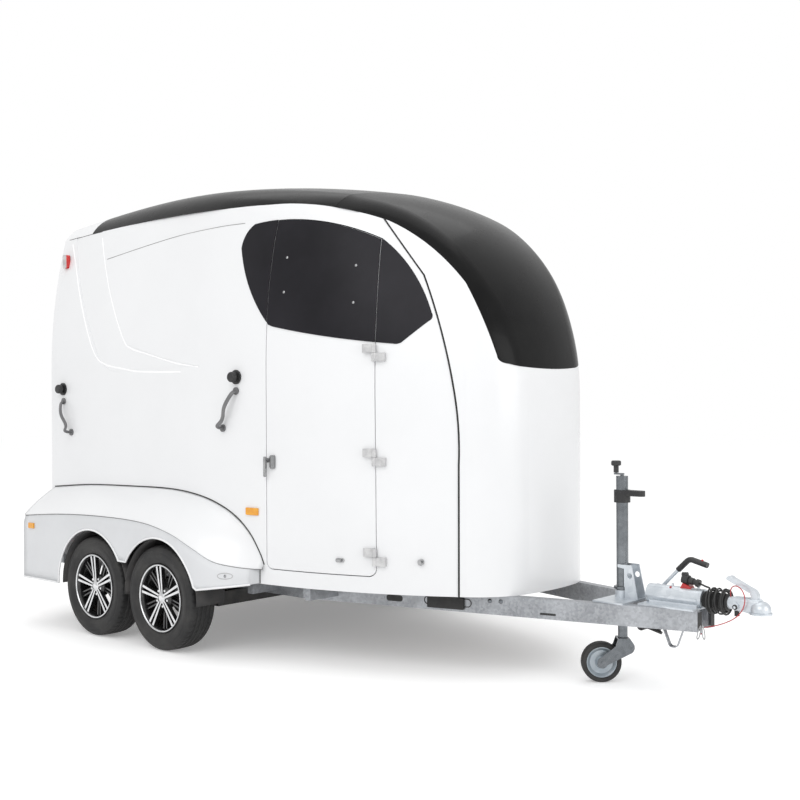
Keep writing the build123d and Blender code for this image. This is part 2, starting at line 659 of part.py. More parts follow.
def hinge(z):
    """Fixed part with the pin, and the door's part that turns on it."""
    pin = rod((HINGE_X, HINGE_Y, z - 45), (HINGE_X, HINGE_Y, z + 40), PIN_R)
    fixed = hinge_leaf(z, 1, 62, z - 45, z - 1) + pin
    bore = rod((HINGE_X, HINGE_Y, z - 60), (HINGE_X, HINGE_Y, z + 60), PIN_R + SEAT)
    turning = hinge_leaf(z, -1, 62, z + 1, z + 45) - bore
    return fixed, turning


leaves_body, leaves_door = zip(*[hinge(z) for z in HINGE_ZS])
save("door_hinges_fixed", *leaves_body)
save("door_hinges_door", *leaves_door)

# Door catch, lock and the eye that holds the open door.

def on_wall(x, z):
    """Place on the right wall with local Y pointing out of the body."""
    slope = (half_width(x - 1, z) - half_width(x + 1, z)) / 2
    return Location((x, -half_width(x, z), z), (0, 0, 180 + degrees(atan2(slope, 1))))


def plate(w, h, t, r):
    """Plate in the XZ plane with rounded corners, standing on the wall, t thick towards +Y."""
    face = Plane(origin=(0, 0, 0), x_dir=(1, 0, 0), z_dir=(0, 1, 0)) * RectangleRounded(w, h, r)
    return extrude(face, amount=t)


LOCK_X, LOCK_Z = 706, 1085
lock_plate = on_wall(LOCK_X, LOCK_Z) * plate(34, 74, 12, 12)
lever = rod((0, 10, 0), (0, 30, 0), 9) + plate(17, 110, 9, 7).moved(Location((0, 24, -34)))
lock_lever = on_wall(LOCK_X - 34, LOCK_Z + 8) * (lever + rod((0, 0, 0), (0, 12, 0), 13))
catch = on_wall(1122, 581) * (plate(50, 22, 6, 10) + rod((-12, 12, 0), (12, 12, 0), 8))
save("door_lever", lock_lever - outer)
eye = on_wall(1536, 590) * (rod((0, 0, 0), (0, 12, 0), 17) + rod((0, 12, 0), (0, 30, 0), 9))
save("door_catches", lock_plate - outer, catch - outer)
save("door_stay_eye", eye - outer)

# Handles, knobs and lamps on the body
HANDLES = [(430, 1470, 316, 1262), (-1292, 1412, -1205, 1212)]      # top x, z and bottom x, z
KNOBS = [(431, 1547), (-1300, 1491)]
HANDLE_OUT = 46


def handle(x0, z0, x1, z1):
    """Arched grip standing off the right wall, with a flat foot at each end."""
    a, b = Vector(x0, -HALF_W, z0), Vector(x1, -HALF_W, z1)
    out = Vector(0, -HANDLE_OUT, 0)
    bow = Spline(a - out * 0.2, a + (b - a) * 0.16 + out * 0.8, (a + b) * 0.5 + out,
                 b - (b - a) * 0.16 + out * 0.8,
                 b - out * 0.2, tangents=(out * 1.6, -out * 1.6))
    grip = sweep(Plane(origin=bow @ 0, x_dir=(b - a).normalized(), z_dir=bow % 0) * Ellipse(8, 13), path=bow)
    for end in (a, b):
        grip += rod(end, end + Vector(0, -9, 0), 21)
    return grip - box(-2000, 2000, -HALF_W, 0, 0, 3000)


handles = [handle(*h) for h in HANDLES]
save("tie_handles", *handles, *[mirrored(h) for h in handles])


def turned_grip(flange_r, flange_t, neck_r, r, z0, z1):
    """Flange, neck and rounded cap on the Z axis."""
    cap = Pos(0, 0, (z0 + z1) / 2) * Cylinder(r, z1 - z0)
    cap = fillet(cap.edges(), (z1 - z0) * 0.3)
    grip = cap + Pos(0, 0, z0 / 2) * Cylinder(neck_r, z0)
    return grip + Pos(0, 0, flange_t / 2) * Cylinder(flange_r, flange_t)


def knob(x, z):
    """Knob that frees the breast or breech bar: a flange and a domed grip."""
    turned = turned_grip(40, 8, 26, 29, 12, 50)
    return turned.rotate(Axis.X, 90).moved(Location((x, -HALF_W - SEAT, z)))


knobs = [knob(*k) for k in KNOBS]
save("bar_knobs", *knobs, *[mirrored(k) for k in knobs])

amber_body = on_wall(554, 809) * plate(92, 40, 9, 5)
amber_fender = Location((-1303, -FENDER_Y, 621), (0, 0, 180)) * plate(62, 34, 8, 4)
ambers = [amber_body - outer, amber_fender]
save("side_markers", *ambers, *[mirrored(a) for a in ambers])
top_marker = on_wall(-1352, 2330) * plate(44, 90, 30, 12) - outer
LAMP_Y, LAMP_Z = (HALF_W + 12.5, HALF_W + 210.5), 520
cluster = box(FENDER_STATIONS[0][0] - 32, FENDER_STATIONS[0][0], *LAMP_Y, LAMP_Z - 65, LAMP_Z + 65)
cluster = fillet(cluster.edges().filter_by(Axis.X), 18)
save("rear_lamps", cluster, mirrored(cluster), top_marker, mirrored(top_marker))

# Jockey wheel
jx, jy = JOCKEY_X, JOCKEY_Y
outer_tube = rod((jx, jy, JOCKEY_LOW), (jx, jy, JOCKEY_TOP), JOCKEY_TUBE / 2, JOCKEY_IN / 2 + SEAT)
outer_tube += rod((jx, jy, JOCKEY_LOW + 138), (jx, jy, JOCKEY_LOW + 150), JOCKEY_TUBE / 2 + 13,
                  JOCKEY_TUBE / 2 - 1)
outer_tube += rod((jx, jy, JOCKEY_TOP), (jx, jy, JOCKEY_TOP + 8), JOCKEY_TUBE / 2)
inner_tube = rod((jx, jy, FORK_TOP + SEAT), (jx, jy, JOCKEY_LOW + 380), JOCKEY_IN / 2, JOCKEY_IN / 2 - 4)
save("jockey_inner_tube", inner_tube)

CRANK_X, CRANK_Z = jx - 34, JOCKEY_TOP + 16
crank = rod((jx, jy, JOCKEY_TOP + 8 + SEAT), (jx, jy, CRANK_Z + 6), 9)
crank += box(CRANK_X - 8, jx + 8, jy - 9, jy + 9, CRANK_Z - 2, CRANK_Z + 6) + rod((CRANK_X, jy, CRANK_Z),
        (CRANK_X, jy, CRANK_Z + 56), 5)
grip = turned_grip(13, 20, 13, 25, 34, 60).moved(Location((CRANK_X, jy, CRANK_Z + 8)))
grip -= rod((CRANK_X, jy, CRANK_Z), (CRANK_X, jy, CRANK_Z + 56 + SEAT), 5 + SEAT)
save("jockey_outer_tube", outer_tube, crank)
COLLAR_Z = 900
collar = rod((jx, jy, COLLAR_Z), (jx, jy, COLLAR_Z + 62), 41, JOCKEY_TUBE / 2 + SEAT)
arm = prism_z(COLLAR_Z + 34, COLLAR_Z + 62, (jx + 20, -26), (jx + 105, -22),
              ((jx + 128, 0), (jx + 105, 22)), (jx + 20, 26))
arm -= prism_z(COLLAR_Z + 20, COLLAR_Z + 52, (jx + 46, -14), (jx + 100, -12),
               ((jx + 114, 0), (jx + 100, 12)), (jx + 46, 14))
arm -= rod((jx, jy, COLLAR_Z - 1), (jx, jy, COLLAR_Z + 90), JOCKEY_TUBE / 2 + SEAT)
save("jockey_grips", collar + arm, grip)


def jockey_place(shape):
    """From a frame with the wheel rolling along X to its parked direction."""
    return shape.rotate(Axis.Z, JOCKEY_TURN).moved(Location((jx, jy, 0)))


axle_x, hub_z, wall = -JOCKEY_TRAIL, JOCKEY_D / 2, JOCKEY_W / 2
cheek = prism_y(wall + 5, wall + 10, (axle_x - 26, hub_z - 8),
                ((axle_x, hub_z - 27), (axle_x + 26, hub_z - 10)),
                (36, FORK_TOP - 74), ((52, FORK_TOP - 48), (46, FORK_TOP - 26)), (28, FORK_TOP), (-30,
                        FORK_TOP),
                (-44, FORK_TOP - 40), (axle_x - 20, hub_z + 18))
fork = cheek + mirrored(cheek) + box(-30, 28, -wall - 10, wall + 10, FORK_TOP - 6, FORK_TOP)
fork += rod((axle_x, -wall - 14, hub_z), (axle_x, wall + 14, hub_z), 8)
save("jockey_fork", jockey_place(fork))
jr, jw = JOCKEY_D / 2, JOCKEY_W / 2
rim_j = revolve(outline(lambda y, z: (axle_x, y, hub_z + z), (-jw - 1, 8 + SEAT), (-jw - 1, 24), (-9, 32),
                        (-9, jr - 42),
                        (-jw + 8, jr - 28), (-jw + 8, jr - 24 - SEAT), (jw - 8, jr - 24 - SEAT), (jw - 8,
                                jr - 28), (9, jr - 42), (9, 32),
                        (jw + 1, 24), (jw + 1, 8 + SEAT)), axis=Axis((axle_x, 0, hub_z), (0, 1, 0)))
tyre_j = revolve(outline(lambda y, z: (axle_x, y, hub_z + z), (-jw + 8, jr - 24), (-jw + 1, jr - 20),
                         (-jw, jr - 9), ((-jw + 5, jr - 2), (-jw + 14, jr)),
                         (jw - 14, jr), ((jw - 5, jr - 2), (jw, jr - 9)), (jw - 1, jr - 20), (jw - 8,
                                 jr - 24)), axis=Axis((axle_x, 0, hub_z), (0, 1, 0)))
save("jockey_rim", jockey_place(rim_j))
save("jockey_tyre", jockey_place(tyre_j))

# Channel bracket that carries the tube between the rails, and the plate under it.
clamp = rod((jx, jy, 404), (jx, jy, 462), JOCKEY_TUBE / 2 + 8, JOCKEY_TUBE / 2 + SEAT)
deck = RAIL_Z + SEAT
bridge = box(jx - 60, jx + 110, -rail_y(jx + 25) - 10, rail_y(jx + 25) + 10, deck, deck + 8)
bridge -= rod((jx, jy, 380), (jx, jy, 500), JOCKEY_TUBE / 2 + SEAT)
tower_face = ((jx + JOCKEY_TUBE / 2 + 6, deck), (jx + 112, deck), (jx + 74, 592),
              (jx + JOCKEY_TUBE / 2 - 34, 592), (jx + JOCKEY_TUBE / 2 - 34, 578),
              (jx + JOCKEY_TUBE / 2 + 6, 572))
tower = prism_y(34, 40, *tower_face)
tower -= rod((jx + 64, 0, 540), (jx + 64, 60, 540), 14)
tower = tower + mirrored(tower)
tower += box(jx + JOCKEY_TUBE / 2 + 2, jx + JOCKEY_TUBE / 2 + 6, -40, 40, 482, 585)
save("jockey_clamp", clamp + bridge + tower)

# Drawbar head
HEAD_Z = 462
HOUSE_X0, HOUSE_X1, HOUSE_R = 2506, 2800, 48
BELLOWS_X = HITCH_X - 194
house = rod((HOUSE_X0, 0, HEAD_Z), (HOUSE_X1, 0, HEAD_Z), HOUSE_R) - box(HOUSE_X0 - 1, HOUSE_X1 + 1, -60,
        60, 300, deck)
house += box(HOUSE_X0, HOUSE_X1, -rail_y(HOUSE_X0) + 20, rail_y(HOUSE_X0) - 20, deck, deck + 8)
house += box(HOUSE_X0 + 30, HOUSE_X1 - 10, -HOUSE_R - 16, HOUSE_R + 16, deck + 8, deck + 22)
house += box(HOUSE_X0 + 70, HOUSE_X1 - 20, -HOUSE_R - 5, HOUSE_R + 5, HEAD_Z - 8, HEAD_Z + 4)
for x, size in ((HOUSE_X0 + 125, 6), (HOUSE_X1 - 32, 6)):
    house += rod((x, 0, HEAD_Z + HOUSE_R - 2), (x, 0, HEAD_Z + HOUSE_R + 12), size)
save("overrun_housing", house)

pitch = 16
fold = [(HOUSE_X1 + SEAT, 0)]
count = int((BELLOWS_X - HOUSE_X1) // pitch)
for i in range(count):
    fold += [(HOUSE_X1 + SEAT + i * pitch, 33), (HOUSE_X1 + SEAT + (i + 0.5) * pitch, 41)]
fold += [(HOUSE_X1 + SEAT + count * pitch, 33), (HOUSE_X1 + SEAT + count * pitch, 0)]
bellows = revolve(side_face(*[(x, HEAD_Z + r) for x, r in fold]), axis=Axis((0, 0, HEAD_Z), (1, 0, 0)))
shaft_x = HOUSE_X1 + SEAT + count * pitch + SEAT
save("bellows", bellows)

BALL_X, BALL_Z, BALL_R = HITCH_X - 52, HEAD_Z - 14, 25.4
head = rod((shaft_x, 0, HEAD_Z), (BELLOWS_X + 70, 0, HEAD_Z), 30)
head += loft([Plane(origin=(BELLOWS_X + 20, 0, HEAD_Z), z_dir=(1, 0, 0)) * RectangleRounded(66, 66, 24),
              Plane(origin=(BELLOWS_X + 90, 0, HEAD_Z - 2), z_dir=(1, 0, 0)) * RectangleRounded(72, 62, 22)])
dome = revolve(side_face((BALL_X, BALL_Z - 24), (BALL_X + 52, BALL_Z - 24), (BALL_X + 52, BALL_Z - 16),
                         (BALL_X + 46, BALL_Z - 14),
                         ((BALL_X + 38, BALL_Z + 22), (BALL_X, BALL_Z + 36))), axis=Axis((BALL_X, 0, 0),
                                 (0, 0, 1)))
neck = loft([Plane(origin=(BELLOWS_X + 60, 0, HEAD_Z), z_dir=(1, 0, 0)) * RectangleRounded(66, 66, 20),
             Plane(origin=(BALL_X, 0, BALL_Z + 4), z_dir=(1, 0, 0)) * RectangleRounded(84, 54, 20)])
head = head + neck + dome
head -= Pos(BALL_X, 0, BALL_Z) * Sphere(BALL_R)
head -= rod((BALL_X, 0, BALL_Z - 60), (BALL_X, 0, BALL_Z - 2), BALL_R)
for y in (-1, 1):
    head += rod((BELLOWS_X + 36, y * 30, HEAD_Z - 6), (BELLOWS_X + 36, y * 42, HEAD_Z - 6), 14)
head = max(head.solids(), key=lambda h: h.volume)
save("coupling_head", head)
LEVER_X = BALL_X - 22
grip_side = [(LEVER_X - 142, HEAD_Z + 110), ((LEVER_X - 130, HEAD_Z + 126), (LEVER_X - 112, HEAD_Z + 120)),
             (LEVER_X - 20, HEAD_Z + 78),
             ((LEVER_X + 6, HEAD_Z + 60), (LEVER_X + 12, HEAD_Z + 30)), (LEVER_X - 16,
                     HEAD_Z + 30), (LEVER_X - 24, HEAD_Z + 56),
             (LEVER_X - 118, HEAD_Z + 98), ((LEVER_X - 134, HEAD_Z + 98), (LEVER_X - 142, HEAD_Z + 110))]
coupling_lever = prism_y(-17, 17, *grip_side[:-1]) - head
save("coupling_lever", coupling_lever)

# Handbrake lever on the left plate, with a plastic grip.
HB_Y = HOUSE_R + 30
hb_plate = prism_y(HB_Y - 8, HB_Y + 8, (2456, deck + 8), (2530, deck + 8), (2532, 470),
                   ((2516, 496), (2490, 494)), (2466, 470))
shaft = rod((2496, HB_Y, 452), (2627, HB_Y, 585), 9)
foot = box(2460, 2530, HOUSE_R, HB_Y + 8, deck + 8, deck + 16)
save("handbrake_lever", (hb_plate + shaft + foot) - house)
grip_path = FilletPolyline((2619, HB_Y, 577), (2680, HB_Y, 636), (2776, HB_Y, 612), radius=34)
grip_solid = sweep(Plane(origin=grip_path @ 0, z_dir=grip_path % 0) * Ellipse(14, 17),
                   path=grip_path) - rod((2496, HB_Y, 452), (2627, HB_Y, 585), 9.3)
save("handbrake_grip", grip_solid)

# Parking socket for the plug, with the plug in it.
SOCK_X, SOCK_Z = 2704, HEAD_Z + HOUSE_R
wedge = prism_y(-20, 20, (SOCK_X - 24, SOCK_Z - 4), (SOCK_X + 34, SOCK_Z - 4), (SOCK_X + 26, SOCK_Z + 8),
                (SOCK_X - 10, SOCK_Z + 22)) - house
save("plug_socket", wedge)
tilt = radians(-12)
ux, uz = cos(tilt), sin(tilt)
base = (SOCK_X + 6, SOCK_Z + 37)


def along(d, up=0):
    return (base[0] + ux * d - uz * up, 0, base[1] + uz * d + ux * up)


plug = rod(along(-24), along(8), 23) + rod(along(8), along(34), 17) + rod(along(34), along(50),
        14) + rod(along(50), along(66), 19)
flap_lid = rod(along(-30, 16), along(-4, 24), 12)
save("plug", plug + flap_lid - wedge - house)

# Cables: the plug's lead is wound round the bellows, and the breakaway cable hangs from the
# brake lever's rod.
LEAD_D, WIRE_D = 9, 5
COIL_IN, COIL_OUT, COIL_X0, COIL_X1 = 43, 67, 2826, 2924
coil = revolve(side_face(*[(x, HEAD_Z + r) for x, r in (
    (COIL_X0, COIL_IN), (COIL_X0, COIL_IN + 14), (COIL_X0 + 10, COIL_OUT), (COIL_X1 - 10, COIL_OUT),
    (COIL_X1, COIL_OUT - 10), (COIL_X1, COIL_IN))]), axis=Axis((0, 0, HEAD_Z), (1, 0, 0)))
save("lead_coil", coil)


def tube(points, d):
    """Tube along straight runs and tangent arcs, each arc as large as its two runs allow."""
    p = [Vector(*q) for q in points]
    radii = []
    for a, b, c in zip(p, p[1:], p[2:]):
        half_turn = radians((b - a).get_angle(c - b)) / 2
        radii.append(0.45 * min((b - a).length, (c - b).length) / tan(half_turn))
    path = FilletPolyline(*p, radius=radii)
    shape = sweep(Plane(origin=path @ 0, z_dir=path % 0) * Circle(d / 2), path=path)
    print("cord radii", [round(r) for r in radii], "length", round(path.length, 1))
    print("  volume over section times length", round(shape.volume / (pi * d * d / 4 * path.length), 4))
    return shape


LEAD_ROUTE = [along(66 + SEAT), along(82), (2808, -3, 523.8), (COIL_X0 - SEAT - 2.65, -8.95, 514.6)]
save("lead", tube(LEAD_ROUTE, LEAD_D))
print("lead", [[round(v, 1) for v in q] for q in LEAD_ROUTE])
WIRE_ROUTE = [(2584.5, -20, 331), (2635, -23, 326), (2692, -27, 323), (2752, -31, 325), (2812, -34, 334),
              (2870, -36, 349),
              (2926, -38, 371), (2978, -42, 400), (3017, -48, 443), (3032, -52, 495), (3015, -50, 538),
              (2980, -41, 553), (2950, -28, 539), (2940, -18, 512), (2941, -14, HEAD_Z + 27)]
wire = tube(WIRE_ROUTE, WIRE_D)
save("breakaway_cable", wire - head)
brake_arm = box(2500, 2584, -40, 10, 300, 348) + box(2530, 2544, -30, 30, 348, deck - SEAT)
hoop_path = FilletPolyline((2642, -rail_y(2642), rail_z0 - SEAT), (2668, -rail_y(2686), 236),
                           (2704, -rail_y(2686), 236), (2730, -rail_y(2730), rail_z0 - SEAT), radius=16)
hoop = sweep(Plane(origin=hoop_path @ 0, z_dir=hoop_path % 0) * Rectangle(5, 22), path=hoop_path)
save("brake_gear", hoop - box(2500, 2900, -200, 0, rail_z0 - SEAT, rail_z0 + 40), brake_arm)
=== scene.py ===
# %% [markdown]
# # A twin-axle horse trailer, dressed in Blender
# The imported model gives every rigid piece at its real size. This lesson adds what the eye looks for:
# finishes, the moulded fenders, tyre tread, wheels, seams, fasteners and the two free cables.

# %% Load the frame and keep its size
from math import atan2, cos, hypot, pi, radians, sin, sqrt

import bmesh
import bpy
from mathutils import Matrix, Vector
from mathutils.bvhtree import BVHTree


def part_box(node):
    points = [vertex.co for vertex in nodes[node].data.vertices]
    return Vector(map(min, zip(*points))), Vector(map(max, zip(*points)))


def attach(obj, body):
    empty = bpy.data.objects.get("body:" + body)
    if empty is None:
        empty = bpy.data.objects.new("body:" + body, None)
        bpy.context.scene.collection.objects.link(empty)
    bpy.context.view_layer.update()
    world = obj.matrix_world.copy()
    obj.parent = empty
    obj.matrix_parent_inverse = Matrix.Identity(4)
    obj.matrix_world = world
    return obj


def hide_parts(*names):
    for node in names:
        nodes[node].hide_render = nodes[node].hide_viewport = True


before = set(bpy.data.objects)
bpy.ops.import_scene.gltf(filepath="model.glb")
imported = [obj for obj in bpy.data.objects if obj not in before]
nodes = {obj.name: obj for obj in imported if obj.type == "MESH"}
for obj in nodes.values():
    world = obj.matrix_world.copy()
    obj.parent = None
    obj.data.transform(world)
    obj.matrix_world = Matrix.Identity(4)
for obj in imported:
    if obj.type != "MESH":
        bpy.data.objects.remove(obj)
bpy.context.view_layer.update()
print("pieces in the frame", len(nodes))

# %% [markdown]
# Places are written in millimetres from the front axle, as the trailer's builder would measure them:
# x forwards, y to the left, z up from the ground. The axle's place comes from the frame.

# %% Measure from the front axle
low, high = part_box("tyre_front_right")
AXLE_X = (low.x + high.x) / 2
WHEEL_X = {"front": 0.0, "rear": (sum(c.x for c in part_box("tyre_rear_right")) / 2 - AXLE_X) * 1000}
WHEEL_R = (high.z - low.z) * 500
WHEEL_Y = -(low.y + high.y) * 500
SIDES = {"right": -1, "left": 1}


def at(x, y, z):
    """Millimetres from the front axle to metres in the frame."""
    return Vector((AXLE_X + x / 1000, y / 1000, z / 1000))


print("wheel radius", round(WHEEL_R), "wheelbase", round(-WHEEL_X["rear"]))

# %% [markdown]
# The camera stands at the right front corner, at eye level, with a slightly long lens. Its place was
# found by fitting the trailer's known lengths to the picture. A small shift sets the horizon.

# %% Camera
def linked(name, data):
    """Object for some data, linked to the scene."""
    obj = bpy.data.objects.new(name, data)
    bpy.context.collection.objects.link(obj)
    return obj


CAMERA_PLACE = (4.622, -5.157, 1.451)
CAMERA_TURN, CAMERA_ROLL = radians(41.82), radians(-0.28)
lens = bpy.data.cameras.new("camera")
lens.lens, lens.sensor_width, lens.shift_y = 53.02, 36, -0.008
camera = linked("camera", lens)
camera.matrix_world = (Matrix.Translation(CAMERA_PLACE) @ Matrix.Rotation(CAMERA_TURN, 4, "Z")
                       @ Matrix.Rotation(pi / 2, 4, "X") @ Matrix.Rotation(CAMERA_ROLL, 4, "Z"))
bpy.context.scene.camera = camera

# %% [markdown]
# ## Cables
# Two cables are free. The plug's lead leaves the plug and is wound round the rubber bellows, and the thin
# breakaway cable hangs from the brake rod to the coupling. Each is one smooth curve with a round section,
# so that it keeps its real length.

# %% Cable curves
LEAD_D, WIRE_D = 9, 5


def cable(name, points, diameter):
    """Curve through control points in millimetres, with a round section."""
    data = bpy.data.curves.new(name, "CURVE")
    data.dimensions = "3D"
    data.bevel_depth = diameter / 2000
    data.bevel_resolution = 3
    data.resolution_u = 6
    data.use_fill_caps = True
    spline = data.splines.new("NURBS")
    spline.points.add(len(points) - 1)
    for knot, p in zip(spline.points, points):
        knot.co = (*at(*p), 1)
    spline.order_u = 3
    spline.use_endpoint_u = True
    return linked(name, data)


# %% The lead, wound round the bellows
COIL_ENDS, COIL_RIM = 8, 2     # free room at the coil's ends and round it
LAYER_TURNS, PER_TURN = 4, 14
LAYER_GAP, TUCK_FROM, TUCK_TURNS = 0.8, 0.2, 0.5
START_TURN = radians(100)
SWAY, SWAY_RATE = 2, 0.37      # the turns don't lie quite evenly
coil_low, coil_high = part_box("lead_coil")
COIL_START = (coil_low.x - AXLE_X) * 1000 + COIL_ENDS
COIL_END = (coil_high.x - AXLE_X) * 1000 - COIL_ENDS
COIL_Z = (coil_low.z + coil_high.z) * 500
COIL_R = (coil_high.z - coil_low.z) * 500 - LEAD_D / 2 - COIL_RIM
INNER_R = COIL_R - LEAD_D - LAYER_GAP
print("coil", round(COIL_START), round(COIL_END), "radius", round(COIL_R, 1))

LEAD_ROUTE = [(2774.9, 0, 533.2), (2790.2, 0, 529.9), (2808, -3, 523.8)]
for i in range(2 * LAYER_TURNS * PER_TURN + 1):
    turn = i / PER_TURN
    angle = START_TURN + 2 * pi * turn
    tucked = min(max(turn - LAYER_TURNS + TUCK_FROM, 0) / TUCK_TURNS, 1)
    radius = COIL_R + (INNER_R - COIL_R) * tucked
    share = 0.5 - 0.5 * cos(pi * turn / LAYER_TURNS)
    x = COIL_START + (COIL_END - COIL_START) * share + SWAY * sin(angle * SWAY_RATE)
    LEAD_ROUTE.append((x, radius * cos(angle), COIL_Z + radius * sin(angle)))
lead = cable("lead_cable", LEAD_ROUTE, LEAD_D)

# %% The breakaway cable
WIRE_ROUTE = [(2584.5, -20, 331), (2635, -23, 326), (2692, -27, 323), (2752, -31, 325),
              (2812, -34, 334), (2870, -36, 349), (2926, -38, 371), (2978, -42, 400),
              (3017, -48, 443), (3032, -52, 495), (3015, -50, 538), (2980, -41, 553),
              (2950, -28, 539), (2940, -18, 512), (2941, -14, 491)]
wire = cable("breakaway_wire", WIRE_ROUTE, WIRE_D)

# %% [markdown]
# ## Finishes
# A finish is a Principled shader with its colour broken up a little, as no real surface is one colour.
# Two effects are shared: a cloudy mask for dust, fading and dullness, and a fine grain for moulded or
# cast surfaces. They are node groups, so each material only sets their sizes.

# %% Helpers for node trees
FLOAT, GEOMETRY = "NodeSocketFloat", "NodeSocketGeometry"


def new_tree(name, tree_kind, inputs, outputs):
    """Tree with inputs (label, kind, value) and outputs (label, kind), and its two end nodes."""
    tree = bpy.data.node_groups.new(name, tree_kind)
    for label, kind, value in inputs:
        socket = tree.interface.new_socket(label, in_out="INPUT", socket_type=kind)
        if value is not None:
            socket.default_value = value
    for label, kind in outputs:
        tree.interface.new_socket(label, in_out="OUTPUT", socket_type=kind)
    return tree, tree.nodes.new("NodeGroupInput"), tree.nodes.new("NodeGroupOutput")


def add(tree, kind, **values):
    """Add a node; values set its properties, or its inputs by name with _ for a space."""
    node = tree.nodes.new(kind)
    for key, value in values.items():
        if hasattr(node, key):
            setattr(node, key, value)
        else:
            node.inputs[key.replace("_", " ")].default_value = value
    return node


def chain(tree, *line):
    """Link each node's first output to the next one's first input."""
    for a, b in zip(line, line[1:]):
        tree.links.new(a.outputs[0], b.inputs[0])


# %% Shared effects
FINER = 9                      # how much smaller the second clouds are


def clouds_group():
    """Mask of soft clouds from 0 to 1, and a second, finer one."""
    inputs = [("Size", FLOAT, 1.0), ("Low", FLOAT, 0.4), ("High", FLOAT, 0.6)]
    tree, given, out = new_tree("clouds", "ShaderNodeTree", inputs, [("Mask", FLOAT), ("Fine", FLOAT)])
    place = add(tree, "ShaderNodeTexCoord")
    noise = add(tree, "ShaderNodeTexNoise", Detail=5.0, Roughness=0.6)
    fine = add(tree, "ShaderNodeTexNoise", Detail=3.0, Roughness=0.55)
    more = add(tree, "ShaderNodeMath", operation="MULTIPLY")
    more.inputs[1].default_value = FINER
    spread = add(tree, "ShaderNodeMapRange")
    link = tree.links.new
    for texture in (noise, fine):
        link(place.outputs["Object"], texture.inputs["Vector"])
    link(given.outputs["Size"], noise.inputs["Scale"])
    link(given.outputs["Size"], more.inputs[0])
    link(more.outputs[0], fine.inputs["Scale"])
    link(noise.outputs[0], spread.inputs["Value"])
    link(given.outputs["Low"], spread.inputs["From Min"])
    link(given.outputs["High"], spread.inputs["From Max"])
    link(spread.outputs[0], out.inputs["Mask"])
    link(fine.outputs[0], out.inputs["Fine"])
    return tree


def grain_group():
    """Height of a fine pebble grain."""
    tree, given, out = new_tree("grain", "ShaderNodeTree", [("Size", FLOAT, 600.0)], [("Height", FLOAT)])
    place = add(tree, "ShaderNodeTexCoord")
    pebbles = add(tree, "ShaderNodeTexVoronoi", feature="SMOOTH_F1")
    noise = add(tree, "ShaderNodeTexNoise", Detail=4.0)
    mix = add(tree, "ShaderNodeMath", operation="ADD")
    link = tree.links.new
    for texture in (pebbles, noise):
        link(place.outputs["Object"], texture.inputs["Vector"])
        link(given.outputs["Size"], texture.inputs["Scale"])
    link(pebbles.outputs["Distance"], mix.inputs[0])
    link(noise.outputs[0], mix.inputs[1])
    link(mix.outputs[0], out.inputs["Height"])
    return tree


CLOUDS, GRAIN = clouds_group(), grain_group()

# %% A finish from a short recipe
def finish(name, colour, second, rough, metal=0.0, coat=0.0, size=3.0, spread=(0.4, 0.62), rough_by=0.08,
           grain=0.0, grain_size=700.0, specular=0.5):
    """Material whose colour drifts from colour to second, with its roughness, over soft clouds."""
    material = bpy.data.materials.new(name)
    material.use_nodes = True
    tree = material.node_tree
    shader = tree.nodes["Principled BSDF"]
    for label, value in (("Metallic", metal), ("Coat Weight", coat), ("Coat Roughness", 0.08),
                         ("Specular IOR Level", specular)):
        shader.inputs[label].default_value = value
    clouds = add(tree, "ShaderNodeGroup", node_tree=CLOUDS, Size=size, Low=spread[0], High=spread[1])
    mix = add(tree, "ShaderNodeMix", data_type="RGBA", A=(*colour, 1), B=(*second, 1))
    dull = add(tree, "ShaderNodeMapRange", To_Min=rough - rough_by / 2, To_Max=rough + rough_by / 2)
    link = tree.links.new
    link(clouds.outputs["Mask"], mix.inputs["Factor"])
    link(mix.outputs["Result"], shader.inputs["Base Color"])
    link(clouds.outputs["Fine"], dull.inputs["Value"])
    link(dull.outputs[0], shader.inputs["Roughness"])
    if grain:
        pebbles = add(tree, "ShaderNodeGroup", node_tree=GRAIN, Size=grain_size)
        bump = add(tree, "ShaderNodeBump", Distance=0.0004, Strength=grain)
        link(pebbles.outputs[0], bump.inputs["Height"])
        link(bump.outputs[0], shader.inputs["Normal"])
    return material


# %% [markdown]
# The shell is glossy white gel coat, and the roof and hood are black with a fine grain. The chassis is
# hot-dip galvanised, whose zinc crystals show as flat flakes, each with its own brightness.

# %% Body finishes
WHITE = finish("gel_coat", (0.79, 0.796, 0.805), (0.765, 0.771, 0.78), 0.3, coat=0.25, size=0.8, grain=0.03)
# The skirt and the fender end plates take the shell's white made greyer: painted shade, as the skirt faces
# sideways and gets less light than the upper panel.
SKIRT_WHITE_PAINTED_SHADE = finish("fender_skirt_painted_shade", (0.66, 0.67, 0.685), (0.62, 0.63, 0.645), 0.38, coat=0.1,
                   size=2, grain=0.05)
ROOF = finish("roof_black", (0.006, 0.006, 0.0062), (0.011, 0.011, 0.011), 0.26, coat=0.06,
              size=1.6, grain=0.1, specular=0.1)
ACRYLIC = finish("dark_acrylic", (0.011, 0.0105, 0.013), (0.018, 0.017, 0.021), 0.32, size=1.2, rough_by=0.05,
                 specular=0.14)
RUBBER = finish("seal_rubber", (0.018, 0.018, 0.018), (0.035, 0.035, 0.034), 0.62, size=14, grain=0.2)
TYRE = finish("tyre_rubber", (0.013, 0.013, 0.0135), (0.03, 0.029, 0.028), 0.66, size=6, grain=0.25,
              grain_size=420)
BLACK = finish("black_plastic", (0.014, 0.014, 0.015), (0.026, 0.026, 0.026), 0.45, size=12, grain=0.3)
GREY = finish("grey_grip", (0.13, 0.13, 0.135), (0.17, 0.17, 0.172), 0.42, size=10, grain=0.3)
AMBER = finish("amber_lens", (0.72, 0.29, 0.004), (0.8, 0.36, 0.008), 0.2, coat=0.5, size=40)
RED = finish("red_lens", (0.52, 0.015, 0.015), (0.65, 0.03, 0.025), 0.25, coat=0.4, size=40)
